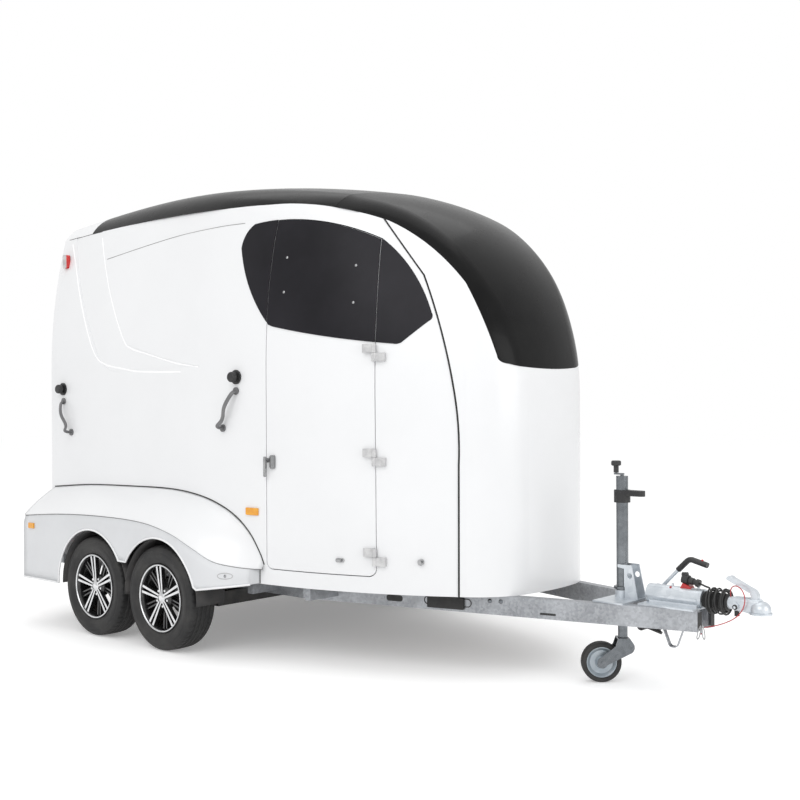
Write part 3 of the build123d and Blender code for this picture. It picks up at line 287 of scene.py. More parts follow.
RED_COVER = finish("red_cover", (0.36, 0.012, 0.016), (0.46, 0.02, 0.022), 0.35, coat=0.2, size=30)
CHROME = finish("polished_lever", (0.3, 0.305, 0.31), (0.42, 0.42, 0.425), 0.2, metal=1, size=14)
PLY = finish("floor_ply", (0.09, 0.06, 0.045), (0.13, 0.09, 0.06), 0.55, size=5, grain=0.6, grain_size=90)
LINER = finish("arch_liner", (0.035, 0.035, 0.036), (0.055, 0.052, 0.05), 0.7, size=5, grain=0.4,
               grain_size=300)
STEEL_BLACK = finish("axle_black", (0.02, 0.02, 0.021), (0.045, 0.043, 0.04), 0.5, size=9, grain=0.2)
ALLOY = finish("machined_alloy", (0.62, 0.63, 0.64), (0.74, 0.74, 0.75), 0.22, metal=1, size=30,
               rough_by=0.12)
RIM_BLACK = finish("rim_black", (0.008, 0.008, 0.009), (0.014, 0.014, 0.014), 0.22, coat=0.6, size=20)
HINGE = finish("hinge_plate", (0.46, 0.46, 0.465), (0.6, 0.6, 0.6), 0.36, metal=0.25, size=25)
CLEAR = finish("clear_lens", (0.42, 0.4, 0.4), (0.6, 0.58, 0.58), 0.15, coat=0.5, size=30)
WHEEL_STEEL = finish("wheel_disc", (0.36, 0.41, 0.45), (0.44, 0.48, 0.51), 0.4, metal=0.6, size=18, grain=0.1)


def zinc(name, dark, bright, crystals, rough, metal=0.8):
    """Zinc surface: each crystal of a cell pattern has its own brightness."""
    material = finish(name, dark, bright, rough, metal=metal, size=5, grain=0.15, grain_size=260)
    tree = material.node_tree
    place = add(tree, "ShaderNodeTexCoord")
    cells = add(tree, "ShaderNodeTexVoronoi", Scale=crystals)
    level = add(tree, "ShaderNodeRGBToBW")
    mix = next(n for n in tree.nodes if n.bl_idname == "ShaderNodeMix")
    both = add(tree, "ShaderNodeMath", operation="MULTIPLY_ADD")
    both.inputs[1].default_value = 0.55
    clouds = mix.inputs["Factor"].links[0].from_socket
    part = add(tree, "ShaderNodeMath", operation="MULTIPLY")
    part.inputs[1].default_value = 0.5
    link = tree.links.new
    link(place.outputs["Object"], cells.inputs["Vector"])
    link(cells.outputs["Color"], level.inputs[0])
    link(level.outputs[0], both.inputs[0])
    link(clouds, part.inputs[0])
    link(part.outputs[0], both.inputs[2])
    link(both.outputs[0], mix.inputs["Factor"])
    return material


GALVANISED = zinc("galvanised", (0.24, 0.25, 0.265), (0.46, 0.475, 0.5), 95, 0.42, metal=0.65)
CASTING = zinc("zinc_plated", (0.5, 0.54, 0.58), (0.7, 0.735, 0.77), 30, 0.34, metal=0.55)
TUBE_ZINC = zinc("tube_zinc", (0.13, 0.14, 0.15), (0.22, 0.235, 0.25), 60, 0.24, metal=0.9)

# %% Give every piece of the frame its finish
FINISHES = {
    WHITE: ["nose_shell", "wall_right", "wall_left", "groom_door", "roof_cap", "rear_frame", "ramp",
            "top_flap"],
    ROOF: ["roof", "hood"],
    ACRYLIC: ["door_window", "fixed_windows"],
    RUBBER: ["nose_seals", "bellows"],
    TUBE_ZINC: ["jockey_outer_tube", "jockey_inner_tube", "jockey_fork"],
    GALVANISED: ["chassis_rails", "cross_members", "rear_hinges_fixed", "ramp_hinge_eyes",
                 "flap_hinge_eyes", "brake_gear"],
    CASTING: ["overrun_housing", "coupling_head", "handbrake_lever", "coupling_lever", "jockey_clamp"],
    HINGE: ["door_hinges_fixed", "door_hinges_door"],
    CHROME: ["door_lever", "door_catches", "door_stay_eye"],
    PLY: ["floor"],
    STEEL_BLACK: ["axle_front", "axle_rear"],
    BLACK: ["bar_knobs", "jockey_grips", "handbrake_grip", "plug"],
    GREY: ["tie_handles"],
    AMBER: ["side_markers"],
    RED: ["rear_lamps"],
    RED_COVER: ["plug_socket"],
    WHEEL_STEEL: ["jockey_rim"],
    TYRE: ["jockey_tyre"],
}
for material, names in FINISHES.items():
    for name in names:
        mesh = nodes[name].data
        mesh.materials.clear()
        mesh.materials.append(material)
print("finishes in the table", len(FINISHES))

# %% Pieces of two finishes: the high lamps' clear sides, and the plate under the door's lever
HIGH_LAMPS, PLATE_X = 2.0, 687


def second_finish(node, material, test):
    """Give the faces that pass the test a second finish."""
    mesh = nodes[node].data
    mesh.materials.append(material)
    for face in mesh.polygons:
        if test(face):
            face.material_index = 1


second_finish("rear_lamps", CLEAR, lambda f: f.center.z > HIGH_LAMPS and abs(f.normal.y) > 0.8)
second_finish("door_lever", WHITE, lambda f: f.center.x > at(PLATE_X, 0, 0).x)

# %% Tie the two cables to the trailer
lead.data.materials.append(RUBBER)
wire.data.materials.append(RED_COVER)
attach(lead, "trailer")
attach(wire, "trailer")
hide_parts("lead", "lead_coil")
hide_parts("breakaway_cable")

# %% [markdown]
# ## Making shapes
# Most added pieces are turned shapes, sheets between two edges, or repeats. A turned shape takes a profile
# of places along its axis and radii. Every mesh ends at the object's origin, with its place in its vertices.

# %% Mesh helpers
def piece(name, vertices, faces, materials, body="trailer", picks=None, smooth=True):
    """Mesh object from vertices in metres; picks gives each face its material."""
    mesh = bpy.data.meshes.new(name)
    mesh.from_pydata([tuple(v) for v in vertices], [], faces)
    for material in materials:
        mesh.materials.append(material)
    mesh.polygons.foreach_set("use_smooth", [smooth] * len(mesh.polygons))
    if picks:
        mesh.polygons.foreach_set("material_index", picks)
    mesh.update()
    obj = linked(name, mesh)
    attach(obj, body)
    return obj


def outwards(obj):
    """Merge doubles and turn all faces outwards."""
    shape = bmesh.new()
    shape.from_mesh(obj.data)
    bmesh.ops.remove_doubles(shape, verts=shape.verts, dist=1e-6)
    bmesh.ops.recalc_face_normals(shape, faces=shape.faces)
    shape.to_mesh(obj.data)
    shape.free()
    return obj


def turned(profile, steps, centre, side, shape=None):
    """Vertices and faces of a closed profile [(y, r)] turned about the wheel's axis.

    shape(i, y, r) may change the radius at step i.
    """
    vertices, faces, n = [], [], len(profile)
    for i in range(steps):
        a = 2 * pi * i / steps
        for y, r in profile:
            rr = shape(i, y, r) if shape else r
            vertices.append(at(centre[0] + rr * cos(a), side * (centre[1] + y), centre[2] + rr * sin(a)))
    for i in range(steps):
        j = (i + 1) % steps
        for k in range(n):
            m = (k + 1) % n
            faces.append((i * n + k, i * n + m, j * n + m, j * n + k))
    return vertices, faces


# %% [markdown]
# ## Tyres
# A tyre is turned from its section. Four grooves run round the tread, and narrow cross cuts divide the
# ribs into blocks, wider at the shoulders. The cuts are made while turning, by lowering the tread where
# a cut passes, so the tread is real geometry without thousands of separate blocks.

# %% Tyre section and tread
TYRE_W, BEAD_R = 188, 186
GROOVES, GROOVE_DEPTH = (-42, -14, 14, 42), 8
CROWN, CROWN_HALF = 2.8, 64    # how far the tread drops at this distance from its middle
TREAD_STEPS, CUT_EVERY = 300, 6
SHOULDER_FROM, SHOULDER_CUT, RIB_CUT = 47, 5, 3.5


def tread_at(y):
    """Radius of the tread at y from the tyre's middle."""
    return WHEEL_R - CROWN * (y / CROWN_HALF) ** 2


def tyre_section():
    """Closed section from the inner bead over the tread to the outer bead."""
    wall = [(75, BEAD_R + 1), (75, BEAD_R + 10), (80, 200), (83, 203), (84, 208), (83, 212), (88, 222),
            (92, 236), (93.6, 246), (92, 258), (89.5, 262), (91, 265), (88, 272), (84.5, 281), (80, 288),
            (74, 292.6)]
    shoulder = (66, 60, 54, 48)
    tread = [(y, tread_at(y)) for y in shoulder]
    for g in reversed(GROOVES):
        for dy, depth in ((4.4, 0), (3.6, GROOVE_DEPTH), (-3.6, GROOVE_DEPTH), (-4.4, 0)):
            tread.append((g + dy, tread_at(g) - depth))
        if g > GROOVES[0]:
            tread += [(g + dy, tread_at(g + dy)) for dy in (-10, -14, -18)]
    tread += [(-y, tread_at(-y)) for y in reversed(shoulder)]
    inner = [(-y, r) for y, r in reversed(wall)]
    return wall + tread + inner


def cross_cut(i, y, r):
    """Lower the tread where a cross cut passes."""
    if r < WHEEL_R - GROOVE_DEPTH + 1:
        return r
    if abs(y) > SHOULDER_FROM:
        phase = (i + round(abs(y) * 0.06)) % CUT_EVERY
        return r - SHOULDER_CUT if phase == 0 else r
    phase = (i * 2 + round(y * 0.35)) % (CUT_EVERY * 2)
    outer_rib = phase == 0 and abs(abs(y) - 28) < 9
    middle_rib = phase == CUT_EVERY and abs(y) < 9
    return r - RIB_CUT if outer_rib or middle_rib else r


section = tyre_section()
for end, x in WHEEL_X.items():
    for side, sign in SIDES.items():
        vertices, faces = turned(section, TREAD_STEPS, (x, WHEEL_Y, WHEEL_R), sign, cross_cut)
        tyre = outwards(piece(f"tread_{end}_{side}", vertices, faces, [TYRE], f"wheel_{end}_{side}"))
        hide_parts(f"tyre_{end}_{side}")
print("tyre faces", len(faces))

# %% [markdown]
# ## Wheels
# The wheels are cast alloy, painted black, with the front faces of five twin spokes and the outer ring cut
# bright. Darker spokes stand behind, between the bright ones. The barrel is turned, and the spokes are
# tapered bars whose front faces take the bright material.

# %% Spokes
def bar(inner, outer, spread_in, spread_out, width_in, width_out, y_in, y_out, depth, turn):
    """Tapered spoke bar from radius inner to outer; returns 8 corners as (radius direction, side, y)."""
    corners = []
    for r, offset, width, y in ((inner, spread_in, width_in, y_in), (outer, spread_out, width_out, y_out)):
        for dy in (0, -depth):
            for s in (-1, 1):
                half = width / 2 + (SPOKE_FLARE if dy else 0)
                u, v = r, offset + s * half
                corners.append((u * cos(turn) - v * sin(turn), u * sin(turn) + v * cos(turn), y + dy))
    return corners


BAR_FACES = [(0, 1, 5, 4), (2, 6, 7, 3), (0, 4, 6, 2), (1, 3, 7, 5), (0, 2, 3, 1), (4, 5, 7, 6)]
SPOKES, SPOKE_TURN, SPOKE_FLARE = 5, radians(96), 3.5
RIM_FACE, NUT_CIRCLE = TYRE_W * 0.4, 48


# %% Rim
def rim(end, side, sign, x):
    """One alloy rim: barrel, bright ring, hub, cap, and a pair of bright and dark bars for each spoke."""
    centre = (x, WHEEL_Y, WHEEL_R)
    f, bead = RIM_FACE, BEAD_R
    vertices, faces, picks = [], [], []

    def take(more, these, pick):
        base = len(vertices)
        vertices.extend(more)
        faces.extend(tuple(base + k for k in face) for face in these)
        picks.extend([pick] * len(these))

    barrel = [(-f - 8, bead + 8), (-f - 1, bead + 8), (-f - 1, bead - 1), (-f + 30, bead - 6),
              (f - 30, bead - 6), (f + 0.5, bead - 1), (f + 0.5, bead + 8), (f + 5, bead + 9),
              (f + 9, bead + 6), (f + 9, bead - 1), (f + 2, bead - 6), (f - 12, bead - 13),
              (f - 40, bead - 15), (-f + 30, bead - 14), (-f - 2, bead - 9)]
    take(*turned(barrel, 96, centre, sign), 0)
    ring = [(f + 5.5, bead + 7), (f + 10, bead + 4), (f + 10.4, bead - 1), (f + 6, bead - 5),
            (f + 4, bead - 2)]
    take(*turned(ring, 96, centre, sign), 1)
    hub = [(f - 60, 26), (f - 60, 66), (f - 24, 66), (f - 14, 58), (f - 10, 40), (f - 10, 26)]
    take(*turned(hub, 64, centre, sign), 0)
    cap = [(f - 12, 0.5), (f - 12, 31), (f - 4, 31), (f - 1.5, 28), (f - 0.5, 22), (f + 1, 20),
           (f + 2, 12), (f + 2.2, 0.5)]
    take(*turned(cap, 48, centre, sign), 1)
    for i in range(SPOKES):
        turn = SPOKE_TURN + 2 * pi * i / SPOKES
        between = turn + pi / SPOKES
        for s in (-1, 1):
            bright = bar(24, bead - 3, s * 8, s * 17, 11, 16, f - 4, f + 2, 24, turn)
            dark = bar(58, bead - 12, s * 9, s * 13, 9, 10, f - 26, f - 16, 16, between)
            for corners, top in ((bright, 1), (dark, 0)):
                spots = [at(centre[0] + u, sign * (centre[1] + y), centre[2] + v) for u, v, y in corners]
                take(spots, BAR_FACES[:1], top)
                take(spots, BAR_FACES[1:], 0)
        nut = [(f - 16, 0.3), (f - 16, 8), (f - 8, 8), (f - 6, 6.5), (f - 6, 0.3)]
        spot = (x + NUT_CIRCLE * cos(between), WHEEL_Y, WHEEL_R + NUT_CIRCLE * sin(between))
        take(*turned(nut, 12, spot, sign), 1)
    obj = piece(f"alloy_{end}_{side}", vertices, faces, [RIM_BLACK, ALLOY], f"wheel_{end}_{side}",
                picks, smooth=False)
    outwards(obj)
    soft = obj.modifiers.new("soft edges", "BEVEL")
    soft.width, soft.segments, soft.limit_method, soft.angle_limit = 0.0012, 2, "ANGLE", radians(40)
    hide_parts(f"rim_{end}_{side}")
    return obj


for end, x in WHEEL_X.items():
    for side, sign in SIDES.items():
        obj = rim(end, side, sign, x)
        obj.data.polygons.foreach_set("use_smooth", [True] * len(obj.data.polygons))
        obj.data.set_sharp_from_angle(angle=radians(35))
print("rim faces", len(obj.data.polygons))

# %% [markdown]
# ## Fenders
# Each fender is two moulded panels: a full upper one that rolls down from the wall to a lip, and a skirt
# below it with two arches. The skirt is a sheet between the lip's line above and the arches' line below,
# so its columns follow the arches and the edge stays clean. Both get their thickness from Solidify.

# %% Lines of the fender
# x, height of the seam on the wall, lip's height and side, lower edge's height
FENDER = [(-1400, 852, 690, 1112, 288), (-1000, 882, 722, 1112, 288), (-573, 894, 737, 1112, 288),
          (-150, 897, 728, 1112, 288), (110, 872, 684, 1112, 288), (300, 825, 620, 1110, 372),
          (440, 762, 552, 1072, 398), (545, 675, 525, 1000, 412), (620, 566, 512, 922, 422),
          (640, 523, 510, 892, 424)]
ARCH_R, ARCH_TAB, SKIRT_END = 343, 480, 606
FENDER_X = (FENDER[0][0], FENDER[-1][0])
SKIRT_LOW = FENDER[0][4]
REAR_POINTS, ARCH_POINTS, FRONT_POINTS = 8, 44, 14


def along_fender(x):
    """Seam, lip, side and lower edge at x, eased smoothly between the measured stations."""
    k = max(i for i in range(len(FENDER) - 1) if x >= FENDER[i][0] or i == 0)
    a, b = FENDER[k], FENDER[k + 1]
    before, after = FENDER[max(k - 1, 0)], FENDER[min(k + 2, len(FENDER) - 1)]
    t, span = (x - a[0]) / (b[0] - a[0]), b[0] - a[0]
    values = []
    for c in range(1, 5):
        slope_a = (b[c] - before[c]) / (b[0] - before[0])
        slope_b = (after[c] - a[c]) / (after[0] - a[0])
        values.append((2 * t ** 3 - 3 * t ** 2 + 1) * a[c] + (t ** 3 - 2 * t ** 2 + t) * span * slope_a
                      + (3 * t ** 2 - 2 * t ** 3) * b[c] + (t ** 3 - t ** 2) * span * slope_b)
    return values


# %% Where the wall's skin is
AWAY, HALF_W = 1500, 887.5     # a ray's start outside, and the wall's side where no ray meets it


def surface_of(node):
    """A node's mesh as a tree that rays can be cast at."""
    mesh = nodes[node].data
    return BVHTree.FromPolygons([v.co.copy() for v in mesh.vertices],
                                [tuple(p.vertices) for p in mesh.polygons])


WALL = surface_of("wall_left")


def wall_hit(x, z):
    """Where the left wall is met at x and z, or None. The right one mirrors it, but for the door."""
    return WALL.ray_cast(at(x, AWAY, z), Vector((0, -1, 0)))[0]


def skin(x, z):
    """How far the wall's outer face lies from the middle, in millimetres, at x and z."""
    hit = wall_hit(x, z)
    return abs(hit.y) * 1000 if hit else HALF_W


def on_wall(line, sign, out):
    """Points (x, z) laid on a wall, standing out by out millimetres."""
    return [at(x, sign * (skin(x, z) + out), z) for x, z in line]


# %% Line of the arches


def arch_line():
    """Lower edge of the skirt from rear to front: straight runs, two arches and the tab between."""
    rear_run = WHEEL_X["rear"] - ARCH_R - FENDER_X[0]
    line = [(FENDER_X[0] + i * rear_run / REAR_POINTS, SKIRT_LOW) for i in range(REAR_POINTS + 1)]
    tab = ARCH_TAB - WHEEL_R
    half_tab = sqrt(ARCH_R ** 2 - tab ** 2)
    stop = atan2(tab, half_tab)
    for centre, a, b in ((WHEEL_X["rear"], pi, stop), (0, pi - stop, 0)):
        for i in range(ARCH_POINTS + 1):
            angle = a + (b - a) * i / ARCH_POINTS
            x, z = centre + ARCH_R * cos(angle), WHEEL_R + ARCH_R * sin(angle)
            if z >= along_fender(x)[3] - 1 or x < 250:
                line.append((x, z))
    front = line[-1][0]
    for i in range(1, FRONT_POINTS + 1):
        x = front + i * (SKIRT_END - front) / FRONT_POINTS
        line.append((x, along_fender(x)[3]))
    return line


SKIRT_EDGE = arch_line()
print("skirt edge points", len(SKIRT_EDGE))

# %% Fender panels
UPPER_ROWS, SKIRT_ROWS, UPPER_STEPS = 16, 12, 90
LIP_IN, BULGE, BULGE_DROP = 9, 8, 62
UNDER_LIP = 5                  # the skirt starts this far below the lip's line


def skirt_side(drop, side):
    """Side of the skirt at drop below the lip: it comes out from under the lip and then hangs straight."""
    share = min(drop / BULGE_DROP, 1)
    return side - LIP_IN + (LIP_IN + BULGE) * sin(share * pi / 2)


def on_skirt(x, z, sign, out=0.0):
    _, lip, side, _ = along_fender(x)
    return at(x, sign * (skirt_side(lip - z, side) + out), z)


def sheet(name, columns, material, thick=4):
    """Smooth sheet from columns of points; every column has as many points."""
    n = len(columns[0])
    faces = [(i * n + k, (i + 1) * n + k, (i + 1) * n + k + 1, i * n + k + 1)
             for i in range(len(columns) - 1) for k in range(n - 1)]
    obj = piece(name, [p for column in columns for p in column], faces, [material])
    wall = obj.modifiers.new("thickness", "SOLIDIFY")
    wall.thickness, wall.offset = thick / 1000, -1
    return obj


def upper_column(x, sign):
    """Full curve from the wall's seam out and down to the lip, and the lip's turned edge."""
    seam, lip, side, _ = along_fender(x)
    wall = skin(x, seam) - 2
    full = 0.35 + 0.65 * min((x - FENDER_X[0]) / 500, 1)
    full *= min((FENDER_X[1] - x) / 120, 1)
    pull = ((wall + side) / 2 + 30 * full, (seam + lip) / 2 + 40 * full)
    column = []
    for i in range(UPPER_ROWS):
        t = i / (UPPER_ROWS - 1)
        y = (1 - t) ** 2 * wall + 2 * t * (1 - t) * pull[0] + t * t * side
        z = (1 - t) ** 2 * seam + 2 * t * (1 - t) * pull[1] + t * t * lip
        column.append(at(x, sign * y, z))
    return column + [at(x, sign * (side + out), lip - drop) for out, drop in ((1.5, 4), (0.5, 8), (-5, 9))]


def skirt_column(x, z, sign, top_x):
    """From under the lip at top_x down to the edge point x, z; the columns fan out over the arches."""
    column = []
    for i in range(SKIRT_ROWS):
        share = (i / (SKIRT_ROWS - 1)) ** 1.6
        here = top_x + (x - top_x) * min(share * 1.6, 1)
        _, lip, side, _ = along_fender(here)
        drop = (lip - UNDER_LIP - z) * share
        column.append(at(here, sign * skirt_side(drop, side), lip - UNDER_LIP - drop))
    return column


def end_plate(name, x, sign):
    """Flat plate that closes the fender at x, from the wall to the skirt."""
    low = along_fender(x)[3]
    outline = upper_column(x, sign)[:UPPER_ROWS] + skirt_column(x, low, sign, x)
    outline.append(at(x, sign * (skin(x, max(low, WALL_LOW)) - 2), low))
    # The plate takes the skirt's greyer white, which is painted shade.
    return outwards(piece(name, outline, [tuple(range(len(outline)))], [SKIRT_WHITE_PAINTED_SHADE], smooth=False))


# %% Both fenders
WALL_LOW, FAN = 430, 9         # the wall's lowest skin, and the spread of a column's top in edge points
SKIRT_TOPS = []
for i in range(len(SKIRT_EDGE)):
    near = min(i, len(SKIRT_EDGE) - 1 - i, FAN)
    window = [x for x, _ in SKIRT_EDGE[i - near:i + near + 1]]
    SKIRT_TOPS.append(sum(window) / len(window))
UPPER_XS = [FENDER_X[0] + (FENDER_X[1] - FENDER_X[0]) * i / UPPER_STEPS for i in range(UPPER_STEPS + 1)]
for side, sign in SIDES.items():
    flip = -1 if sign < 0 else 1
    upper = sheet(f"fender_upper_{side}", [upper_column(x, sign) for x in UPPER_XS[::flip]], WHITE)
    columns = [skirt_column(x, z, sign, top) for (x, z), top in zip(SKIRT_EDGE, SKIRT_TOPS)]
    # The skirt's greyer white is painted shade.
    skirt = sheet(f"fender_skirt_painted_shade_{side}", columns[::flip], SKIRT_WHITE_PAINTED_SHADE)
    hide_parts(f"fender_{side}")
    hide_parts(f"fender_{side}")
    for where, x in (("rear", FENDER_X[0]), ("front", SKIRT_END)):
        end_plate(f"fender_{where}_plate_{side}", x, sign)
print("fenders", len(upper.data.polygons), len(skirt.data.polygons))

# %% [markdown]
# ## Tubes along a line
# Seams, rolled lips and rods are one tool: a line of points becomes a round tube. This is a small Geometry
# Nodes tree: mesh edges to a curve, a circle swept along it, and the finish set at the end. The result is
# turned into a plain mesh before it is tied to its body.

# %% Tube tree
def tube_tree():
    inputs = [("Line", GEOMETRY, None), ("Radius", FLOAT, 0.004), ("Sides", "NodeSocketInt", 10),
              ("Finish", "NodeSocketMaterial", None)]
    tree, given, out = new_tree("tube_on_line", "GeometryNodeTree", inputs, [("Mesh", GEOMETRY)])
    line = add(tree, "GeometryNodeMeshToCurve")
    ring = add(tree, "GeometryNodeCurvePrimitiveCircle")
    swept = add(tree, "GeometryNodeCurveToMesh", Fill_Caps=True)
    soft = add(tree, "GeometryNodeSetShadeSmooth")
    paint = add(tree, "GeometryNodeSetMaterial")
    chain(tree, given, line, swept, soft, paint, out)
    link = tree.links.new
    link(given.outputs["Radius"], ring.inputs["Radius"])
    link(given.outputs["Sides"], ring.inputs["Resolution"])
    link(ring.outputs[0], swept.inputs["Profile Curve"])
    link(given.outputs["Finish"], paint.inputs["Material"])
    return tree


TUBE = tube_tree()


def grown(seed, tree, values, body):
    """Run a tree on a small mesh and keep the result as a plain mesh."""
    obj = linked(seed.name, seed)
    tool = obj.modifiers.new("grow", "NODES")
    tool.node_group = tree
    for item in tree.interface.items_tree:
        if item.item_type == "SOCKET" and item.in_out == "INPUT" and item.name in values:
            tool[item.identifier] = values[item.name]
    seen = obj.evaluated_get(bpy.context.evaluated_depsgraph_get())
    obj.data = bpy.data.meshes.new_from_object(seen)
    obj.modifiers.clear()
    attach(obj, body)
    return obj


def tube(name, lines, radius, material, sides=10, closed=False):
    """Round tubes of radius millimetres along lines of points in metres."""
    vertices, edges = [], []
    for line in lines:
        base = len(vertices)
        vertices += line
        edges += [(base + i, base + i + 1) for i in range(len(line) - 1)]
        if closed:
            edges.append((base + len(line) - 1, base))
    seed = bpy.data.meshes.new(name)
    seed.from_pydata([tuple(v) for v in vertices], edges, [])
    return grown(seed, TUBE, {"Radius": radius / 1000, "Sides": sides, "Finish": material}, "trailer")


# %% Seam bead on the wall, a dark tube under the lip as painted shadow, and the rolled edge of the arches
# A dark grey tube tucked under the upper panel's lip: painted shadow where the lip overhangs the skirt.
LIP_SHADOW = finish("lip_painted_shadow", (0.16, 0.16, 0.165), (0.22, 0.22, 0.22), 0.7, size=12)
for side, sign in SIDES.items():
    bead, shadow_path = [], []
    for x in UPPER_XS:
        seam, lip, out, _ = along_fender(x)
        bead.append(at(x, sign * (skin(x, seam) + 1), seam + 1))
        shadow_path.append(at(x, sign * (out - 6), lip - 10))
    tube(f"lip_painted_shadow_{side}", [shadow_path], 3.2, LIP_SHADOW)
    _, top, _, low = along_fender(SKIRT_END)
    end = on_wall([(SKIRT_END + 3, z) for z in (top - 4, (top + low) / 2, low)], sign, 1)
    tube(f"skirt_end_line_{side}", [end], 2.4, RUBBER)
    tube(f"fender_seam_{side}", [bead], 3.2, RUBBER)
    lip = [on_skirt(x, z, sign) for x, z in SKIRT_EDGE]
    tube(f"arch_lip_{side}", [lip], 6, WHITE, sides=14)
print("seams and lips done")

# %% [markdown]
# ## Arch liners
# Behind each arch a dark moulded liner keeps road dirt off the wall. It is a half drum over the wheel with a
# flat back against the wall.

# %% Liners
LINER_R, LINER_STEPS = ARCH_R - 8, 48
BACK_LOW, BACK_Y = 424, 900    # the flat back, nearer than BACK_Y, isn't made lower than this
SECTION = ((890.5, 40), (890.5, LINER_R - 10), (894, LINER_R - 3), (902, LINER_R), (1000, LINER_R),
           (1096, LINER_R))
for end, x0 in WHEEL_X.items():
    for side, sign in SIDES.items():
        columns = []
        for i in range(LINER_STEPS + 1):
            a = radians(-2 + 184 * i / LINER_STEPS)
            columns.append([at(x0 + r * cos(a), sign * y,
                               max(WHEEL_R + r * sin(a), BACK_LOW if y < BACK_Y else 0)) for y, r in SECTION])
        obj = sheet(f"liner_{end}_{side}", columns, LINER, thick=3)
print("liners", len(obj.data.polygons))

# %% [markdown]
# ## Fasteners
# Screws repeat, so a second tree sets a domed head on each given point, turned to face outwards, and makes
# the copies real. Each point carries the way it faces as an attribute.

# %% Screw tree
def screw_tree():
    inputs = [("Points", GEOMETRY, None), ("Radius", FLOAT, 0.006), ("Height", FLOAT, 0.003),
              ("Finish", "NodeSocketMaterial", None)]
    tree, given, out = new_tree("screws_on_points", "GeometryNodeTree", inputs, [("Mesh", GEOMETRY)])
    places = add(tree, "GeometryNodeMeshToPoints")
    facing = add(tree, "GeometryNodeInputNamedAttribute", data_type="FLOAT_VECTOR", Name="facing")
    turn = add(tree, "FunctionNodeAlignRotationToVector", axis="Z")
    ball = add(tree, "GeometryNodeMeshUVSphere", Segments=14, Rings=8)
    flat = add(tree, "GeometryNodeTransform")
    size = add(tree, "ShaderNodeCombineXYZ", X=1.0, Y=1.0)
    slim = add(tree, "ShaderNodeMath", operation="DIVIDE")
    copies = add(tree, "GeometryNodeInstanceOnPoints")
    real = add(tree, "GeometryNodeRealizeInstances")
    soft = add(tree, "GeometryNodeSetShadeSmooth")
    paint = add(tree, "GeometryNodeSetMaterial")
    chain(tree, given, places, copies, real, soft, paint, out)
    link = tree.links.new
    link(given.outputs["Radius"], ball.inputs["Radius"])
    link(given.outputs["Height"], slim.inputs[0])
    link(given.outputs["Radius"], slim.inputs[1])
    link(slim.outputs[0], size.inputs["Z"])
    link(ball.outputs["Mesh"], flat.inputs["Geometry"])
    link(size.outputs[0], flat.inputs["Scale"])
    link(facing.outputs[0], turn.inputs["Vector"])
    link(flat.outputs[0], copies.inputs["Instance"])
    link(turn.outputs[0], copies.inputs["Rotation"])
    link(given.outputs["Finish"], paint.inputs["Material"])
    return tree


SCREWS = screw_tree()


def screws(name, spots, radius, height, material, body="trailer"):
    """Domed heads at spots [(place in metres, facing)], sizes in millimetres."""
    seed = bpy.data.meshes.new(name)
    seed.from_pydata([tuple(p) for p, _ in spots], [], [])
    facing = seed.attributes.new("facing", "FLOAT_VECTOR", "POINT")
    facing.data.foreach_set("vector", [c for _, way in spots for c in way])
    values = {"Radius": radius / 1000, "Height": height / 1000, "Finish": material}
    return grown(seed, SCREWS, values, body)


# %% Screws of the door's window
INWARDS, DOWN = Vector((0, 1, 0)), Vector((0, 0, -1))


def hits(node, starts, way):
    """Spots where rays from starts along way first meet a node's mesh, each with its facing."""
    surface, spots = surface_of(node), []
    for start in starts:
        place, facing, _, _ = surface.ray_cast(start, way)
        if place:
            spots.append((place, facing if facing.dot(way) < 0 else -facing))
    return spots


WINDOW_SCREWS = ((761, 2191), (1173, 2126), (765, 2002), (1184, 1929))
spots = hits("door_window", [at(x, -AWAY, z) for x, z in WINDOW_SCREWS], INWARDS)
screws("window_screws", spots, 8, 4, CHROME, "groom_door")
print("window screws", len(spots))

# %% [markdown]
# ## Lines on the walls
# Two pressed lines cross each wall from the roof down and forwards, a fine crease runs near the roof, and a
# seam joins the rear cap to the wall. The lines are a few measured points, eased into a curve and laid on
# the wall's skin by casting rays at it. A tube sunk over half its radius leaves only a soft raised line.

# %% Lines pressed into the walls, and the cap's seam
PRESSED = [[(-1341, 2445), (-1253, 2291), (-1111, 2002), (-967, 1738), (-855, 1649), (-666, 1615),
            (-459, 1591), (-67, 1583)],
           [(-1014, 2458), (-934, 2299), (-796, 2034), (-646, 1792), (-564, 1735), (-359, 1689),
            (-114, 1636), (96, 1610)]]
CREASE = [(-905, 2313), (-521, 2362), (-160, 2400), (183, 2415), (402, 2413)]


def eased(points, steps=8):
    """Smooth line through points by Catmull-Rom, in the points' own coordinates."""
    line, n = [], len(points)
    for k in range(n - 1):
        a, b, c, d = (Vector((*points[min(max(k + o, 0), n - 1)], 0)) for o in (-1, 0, 1, 2))
        for i in range(steps):
            t = i / steps
            p = 0.5 * (2 * b + (c - a) * t + (2 * a - 5 * b + 4 * c - d) * t ** 2
                       + (3 * b - a - 3 * c + d) * t ** 3)
            line.append((p.x, p.y))
    return line + [points[-1]]


# The pressed lines' tubes are whiter than the wall: painted highlight along the pressed edges.
PRESS_HIGHLIGHT = finish("pressed_edge_painted_highlight", (0.93, 0.935, 0.94), (0.96, 0.96, 0.965), 0.25, coat=0.4, size=2)
